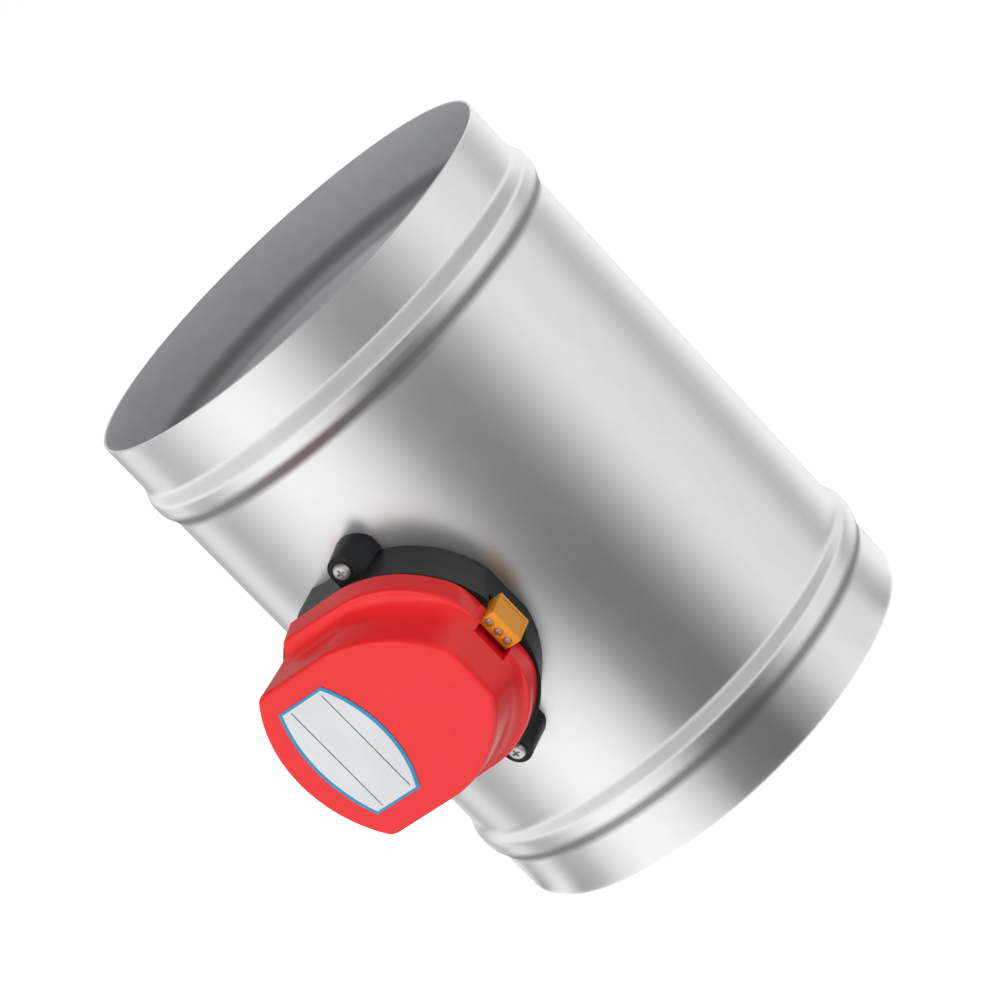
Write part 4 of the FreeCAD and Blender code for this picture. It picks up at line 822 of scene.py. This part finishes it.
def cutSlot(piece, halfX, halfY, low, top):    # straight slot across a head that faces up Z
    corners = ((-1, -1), (1, -1), (1, 1), (-1, 1))
    points = [(sx * halfX * mm, sy * halfY * mm, z * mm) for z in (low, top) for sx, sy in corners]
    faces = [(0, 3, 2, 1), (4, 5, 6, 7), (0, 1, 5, 4), (1, 2, 6, 5), (2, 3, 7, 6), (3, 0, 4, 7)]
    return combine(piece, tidyNormals(meshObject("slot", points, faces)), "DIFFERENCE")


def terminalScrew(look):    # domed head with one slot
    r, h = look["head"] / 2, look["height"]
    profile = [(0, -look["length"]), (look["shank"] / 2, -look["length"]), (look["shank"] / 2, 0), (r, 0),
               (r, 0.35 * h), (0.9 * r, 0.6 * h), (0.7 * r, 0.82 * h), (0.4 * r, 0.96 * h), (0, h)]
    piece = latheMesh("terminal_screw_row", profile, 28)
    cutSlot(piece, r * 1.2, look["slot"] / 2, look["slotFloor"] * h, h + 1)
    return rowUp(piece, look, look["x"], -look["pitch"])


fit(terminalScrew(terminalScrewLook), "housing", "zinc_fastener", "terminal_screws")
print("terminal made")


earScrewLook = {"head": 5.2, "height": 1.9, "shank": 2.9, "length": 13.6, "count": 2, "pitch": 74.5,
                "seat": 85.9, "recessReach": 0.5, "recessWidth": 0.14, "recessFloor": 0.35}


def earScrew(look):    # pan head with a cross recess
    r, h, shank, length = look["head"] / 2, look["height"], look["shank"] / 2, look["length"]
    profile = [(0, -length), (shank - 0.3, -length), (shank, -length + 0.5), (shank, 0), (r * 0.94, 0),
               (r, 0.1 * h), (r, 0.4 * h), (r * 0.97, 0.6 * h), (r * 0.86, 0.8 * h),
               (r * 0.66, 0.94 * h), (r * 0.4, h), (0, h)]
    piece = latheMesh("ear_screw_pair", profile, 32)
    wide, narrow = look["recessReach"] * r, look["recessWidth"] * r
    for halfX, halfY in ((wide, narrow), (narrow, wide)):
        cutSlot(piece, halfX, halfY, look["recessFloor"] * h, h + 1)
    return rowUp(piece, look, 0, -look["pitch"] / 2)


fit(earScrew(earScrewLook), "housing", "zinc_fastener", "ear_screws")

rivetLook = {"head": 6.2, "height": 1.2, "shank": 3.2, "circle": 66.0, "face": 2.3, "count": 8,
             "smoothBelow": 50}


def rivetPiece(look):
    r, h, face = look["head"] / 2, look["height"], look["face"]
    dome = [(r, 0), (r, 0.15 * h), (r * 0.93, 0.45 * h), (r * 0.75, 0.78 * h), (r * 0.45, 0.95 * h), (0, h)]
    profile = [(radius, -face - z) for radius, z in reversed(dome)]
    profile += [(look["shank"] / 2, -face), (look["shank"] / 2, face)]
    profile += [(radius, face + z) for radius, z in dome]
    piece = latheMesh("blade_rivet_ring", profile, 20)
    grow(piece, ringTree, {"Count": look["count"], "Radius": look["circle"] * mm, "Height": middle * mm,
                           "First Angle": math.pi / look["count"], "Material": materials["aluminium_rivet"]})
    return smooth(piece, look["smoothBelow"])


fit(rivetPiece(rivetLook), "blade", "aluminium_rivet", "blade_rivets")

# small fasteners and bearings keep the node's shape, with their edges rounded: the body and the width of that
roundedNodes = {"shaft_clip": ("blade", 0.1), "damper_shaft": ("blade", 0.3),
                "idle_bush": ("housing", 0.3), "thrust_washer": ("housing", 0.15),
                "blade_bolts": ("blade", 0.2), "blade_nuts": ("blade", 0.2)}
for node, (body, width) in roundedNodes.items():
    trimmed = roundEdges(nodeCopy(node, node + "_rounded"), width, angle=meshCare["smoothBelow"])
    fit(smooth(trimmed), body, nodeSlots[node], node)
print("fasteners made")


stageLook = {"floorSize": 6.0, "floorWhite": 0.9, "floorRoughness": 0.9, "floorGlow": 0.9, "skyLight": 0.1}


def seenRay(tree):    # one for rays that see the backdrop, none for rays that light the object
    path = tree.nodes.new("ShaderNodeLightPath")
    seen = mathNode(tree, "MAXIMUM", path.outputs["Is Camera Ray"], path.outputs["Is Glossy Ray"])
    return mathNode(tree, "MAXIMUM", seen, path.outputs["Is Transmission Ray"])


def floorPiece(look):
    half = look["floorSize"] / 2
    floor = meshObject("floor", [(-half, -half, 0), (half, -half, 0), (half, half, 0), (-half, half, 0)],
                       [(0, 1, 2, 3)])
    material = bpy.data.materials.new("floor_paper")
    material.use_nodes = True
    tree = material.node_tree
    shader = tree.nodes["Principled BSDF"]
    shader.inputs["Base Color"].default_value = (look["floorWhite"],) * 3 + (1,)
    shader.inputs["Roughness"].default_value = look["floorRoughness"]
    shader.inputs["Specular IOR Level"].default_value = 0.0
    glow = tree.nodes.new("ShaderNodeEmission")
    tree.links.new(mathNode(tree, "MULTIPLY", seenRay(tree), look["floorGlow"]), glow.inputs["Strength"])
    both = tree.nodes.new("ShaderNodeAddShader")
    tree.links.new(shader.outputs["BSDF"], both.inputs[0])
    tree.links.new(glow.outputs["Emission"], both.inputs[1])
    tree.links.new(both.outputs["Shader"], tree.nodes["Material Output"].inputs["Surface"])
    floor.data.materials.append(material)


floorPiece(stageLook)

world = bpy.data.worlds.new("studio")
bpy.context.scene.world = world
world.use_nodes = True
sky = world.node_tree
background = sky.nodes["Background"]
background.inputs["Color"].default_value = (1, 1, 1, 1)
sky.links.new(spread(sky, seenRay(sky), 0, 1, stageLook["skyLight"], 1.0), background.inputs["Strength"])


def areaLight(name, look):    # a softbox that the object doesn't mirror
    lamp = bpy.data.lights.new(name, "AREA")
    lamp.shape = "SQUARE"
    lamp.size = look["size"]
    lamp.energy = look["power"]
    item = bpy.data.objects.new(name, lamp)
    bpy.context.scene.collection.objects.link(item)
    item.location = look["place"]
    toward = Vector(look["target"]) - Vector(look["place"])
    item.rotation_euler = toward.to_track_quat("-Z", "Y").to_euler()
    item.visible_glossy = False


softboxes = {"keySoftbox": {"place": (-0.35, -1.5, 0.55), "target": (0, 0, 0.1), "size": 0.9, "power": 18},
             "sideSoftbox": {"place": (1.3, 0.1, 0.7), "target": (0, 0, 0.1), "size": 0.8, "power": 8}}
for name, look in softboxes.items():
    areaLight(name, look)

# grey reflector cards all round the object, seen by reflections only: tones by heading for the low cards
# and for the high ones, white between them and a dark ceiling
cardLook = {"near": 0.0765, "far": 1.6, "height": 2.1, "centre": 0.01, "lift": 0.0005, "panels": 72,
            "viewed": -57.3, "fan": 0.0377,
            "low": [(-180, 0.27), (-162, 0.38), (-146, 0.78), (-130, 1.0), (-115, 1.0), (-99, 0.92),
                    (-83, 0.61), (-67, 0.1), (-51, 0.03), (-35, 0.02), (-19, 0.3), (-3, 0.73), (13, 0.84),
                    (29, 0.73), (45, 0.77), (61, 0.34), (77, 0.62), (93, 1.0), (125, 1.0), (141, 0.15),
                    (150, 0.55), (165, 0.97), (180, 0.36)],
            "high": [(-180, 0.62), (-120, 0.7), (-80, 0.42), (60, 0.4), (80, 0.85), (100, 1.0), (118, 0.9),
                     (130, 0.5), (165, 0.5), (180, 0.8)],
            "between": 1.0, "ceiling": 0.06,
            "lowBlend": (0.0, 0.1), "highBlend": (0.2, 0.42), "ceilingBlend": (1.9, 2.09)}


def toneRamp(tree, value, stops):    # grey tones at given values, from the first stop to the last
    low, high = stops[0][0], stops[-1][0]
    ramp = tree.nodes.new("ShaderNodeValToRGB")
    marks = ramp.color_ramp.elements
    marks.remove(marks[1])
    for i, (at, tone) in enumerate(stops):
        mark = marks[0] if i == 0 else marks.new((at - low) / (high - low))
        mark.color = (tone, tone, tone, 1)
    tree.links.new(spread(tree, value, low, high), ramp.inputs["Fac"])
    return ramp.outputs["Color"]


def cardMaterial(look):
    material = bpy.data.materials.new("reflector_card")
    material.use_nodes = True
    tree = material.node_tree
    where = tree.nodes.new("ShaderNodeTexCoord").outputs["Object"]
    axes = tree.nodes.new("ShaderNodeSeparateXYZ")
    tree.links.new(where, axes.inputs[0])
    turn = mathNode(tree, "ARCTAN2", axes.outputs["Y"], axes.outputs["X"])
    turn = mathNode(tree, "MULTIPLY", turn, 180 / math.pi)
    # close to the duct the tones fan out, so that its foot mirrors them in the same places as its top
    aside = mathNode(tree, "WRAP", mathNode(tree, "SUBTRACT", turn, look["viewed"]), 180, -180)
    reach = tree.nodes.new("ShaderNodeVectorMath")
    reach.operation = "LENGTH"
    tree.links.new(where, reach.inputs[0])
    beyond = mathNode(tree, "SUBTRACT", reach.outputs["Value"], look["fan"])
    share = mathNode(tree, "DIVIDE", look["fan"], beyond)
    turn = mathNode(tree, "ADD", turn, mathNode(tree, "MULTIPLY", aside, share))
    turn = mathNode(tree, "WRAP", turn, 180, -180)
    tone = toneRamp(tree, turn, look["low"])    # from the floor up
    high = toneRamp(tree, turn, look["high"])
    between, ceiling = (look["between"],) * 3, (look["ceiling"],) * 3
    for blend, above in (("lowBlend", between), ("highBlend", high), ("ceilingBlend", ceiling)):
        tone = mixColour(tree, spread(tree, axes.outputs["Z"], *look[blend]), tone, above)
    glow = tree.nodes.new("ShaderNodeEmission")
    tree.links.new(tone, glow.inputs["Color"])
    tree.links.new(glow.outputs["Emission"], tree.nodes["Material Output"].inputs["Surface"])
    return material


def reflectorCards(look):
    lift = look["lift"]
    profile = [(look["near"], lift), (look["far"], lift), (look["far"], look["height"]),
               (look["centre"], look["height"])]
    count = look["panels"]
    points = []
    for radius, height in profile:
        for k in range(count):
            turn = 2 * math.pi * k / count
            points.append((radius * math.cos(turn), radius * math.sin(turn), height))
    faces = []
    for ring in range(len(profile) - 1):
        for k in range(count):
            n = (k + 1) % count
            faces.append((ring * count + k, ring * count + n, (ring + 1) * count + n, (ring + 1) * count + k))
    cards = meshObject("reflectorCards", points, faces, cardMaterial(look))
    for ray in ("camera", "diffuse", "transmission", "shadow"):
        setattr(cards, "visible_" + ray, False)


reflectorCards(cardLook)

cameraLook = {"lens": 140.65, "sensor": 36, "place": (0.6197, -0.9669, 0.4044),
              "right": (0.7049, 0.2403, -0.6674), "up": (0.4808, 0.5299, 0.6986),
              "back": (0.5215, -0.8133, 0.2579)}
cameraData = bpy.data.cameras.new("view")
cameraData.lens = cameraLook["lens"]
cameraData.sensor_width = cameraLook["sensor"]
camera = bpy.data.objects.new("view", cameraData)
bpy.context.scene.collection.objects.link(camera)
turn = Matrix((cameraLook["right"], cameraLook["up"], cameraLook["back"])).transposed().to_4x4()
camera.matrix_world = Matrix.Translation(Vector(cameraLook["place"])) @ turn
bpy.context.scene.camera = camera
bpy.context.scene.view_settings.view_transform = "Standard"
print("stage made")
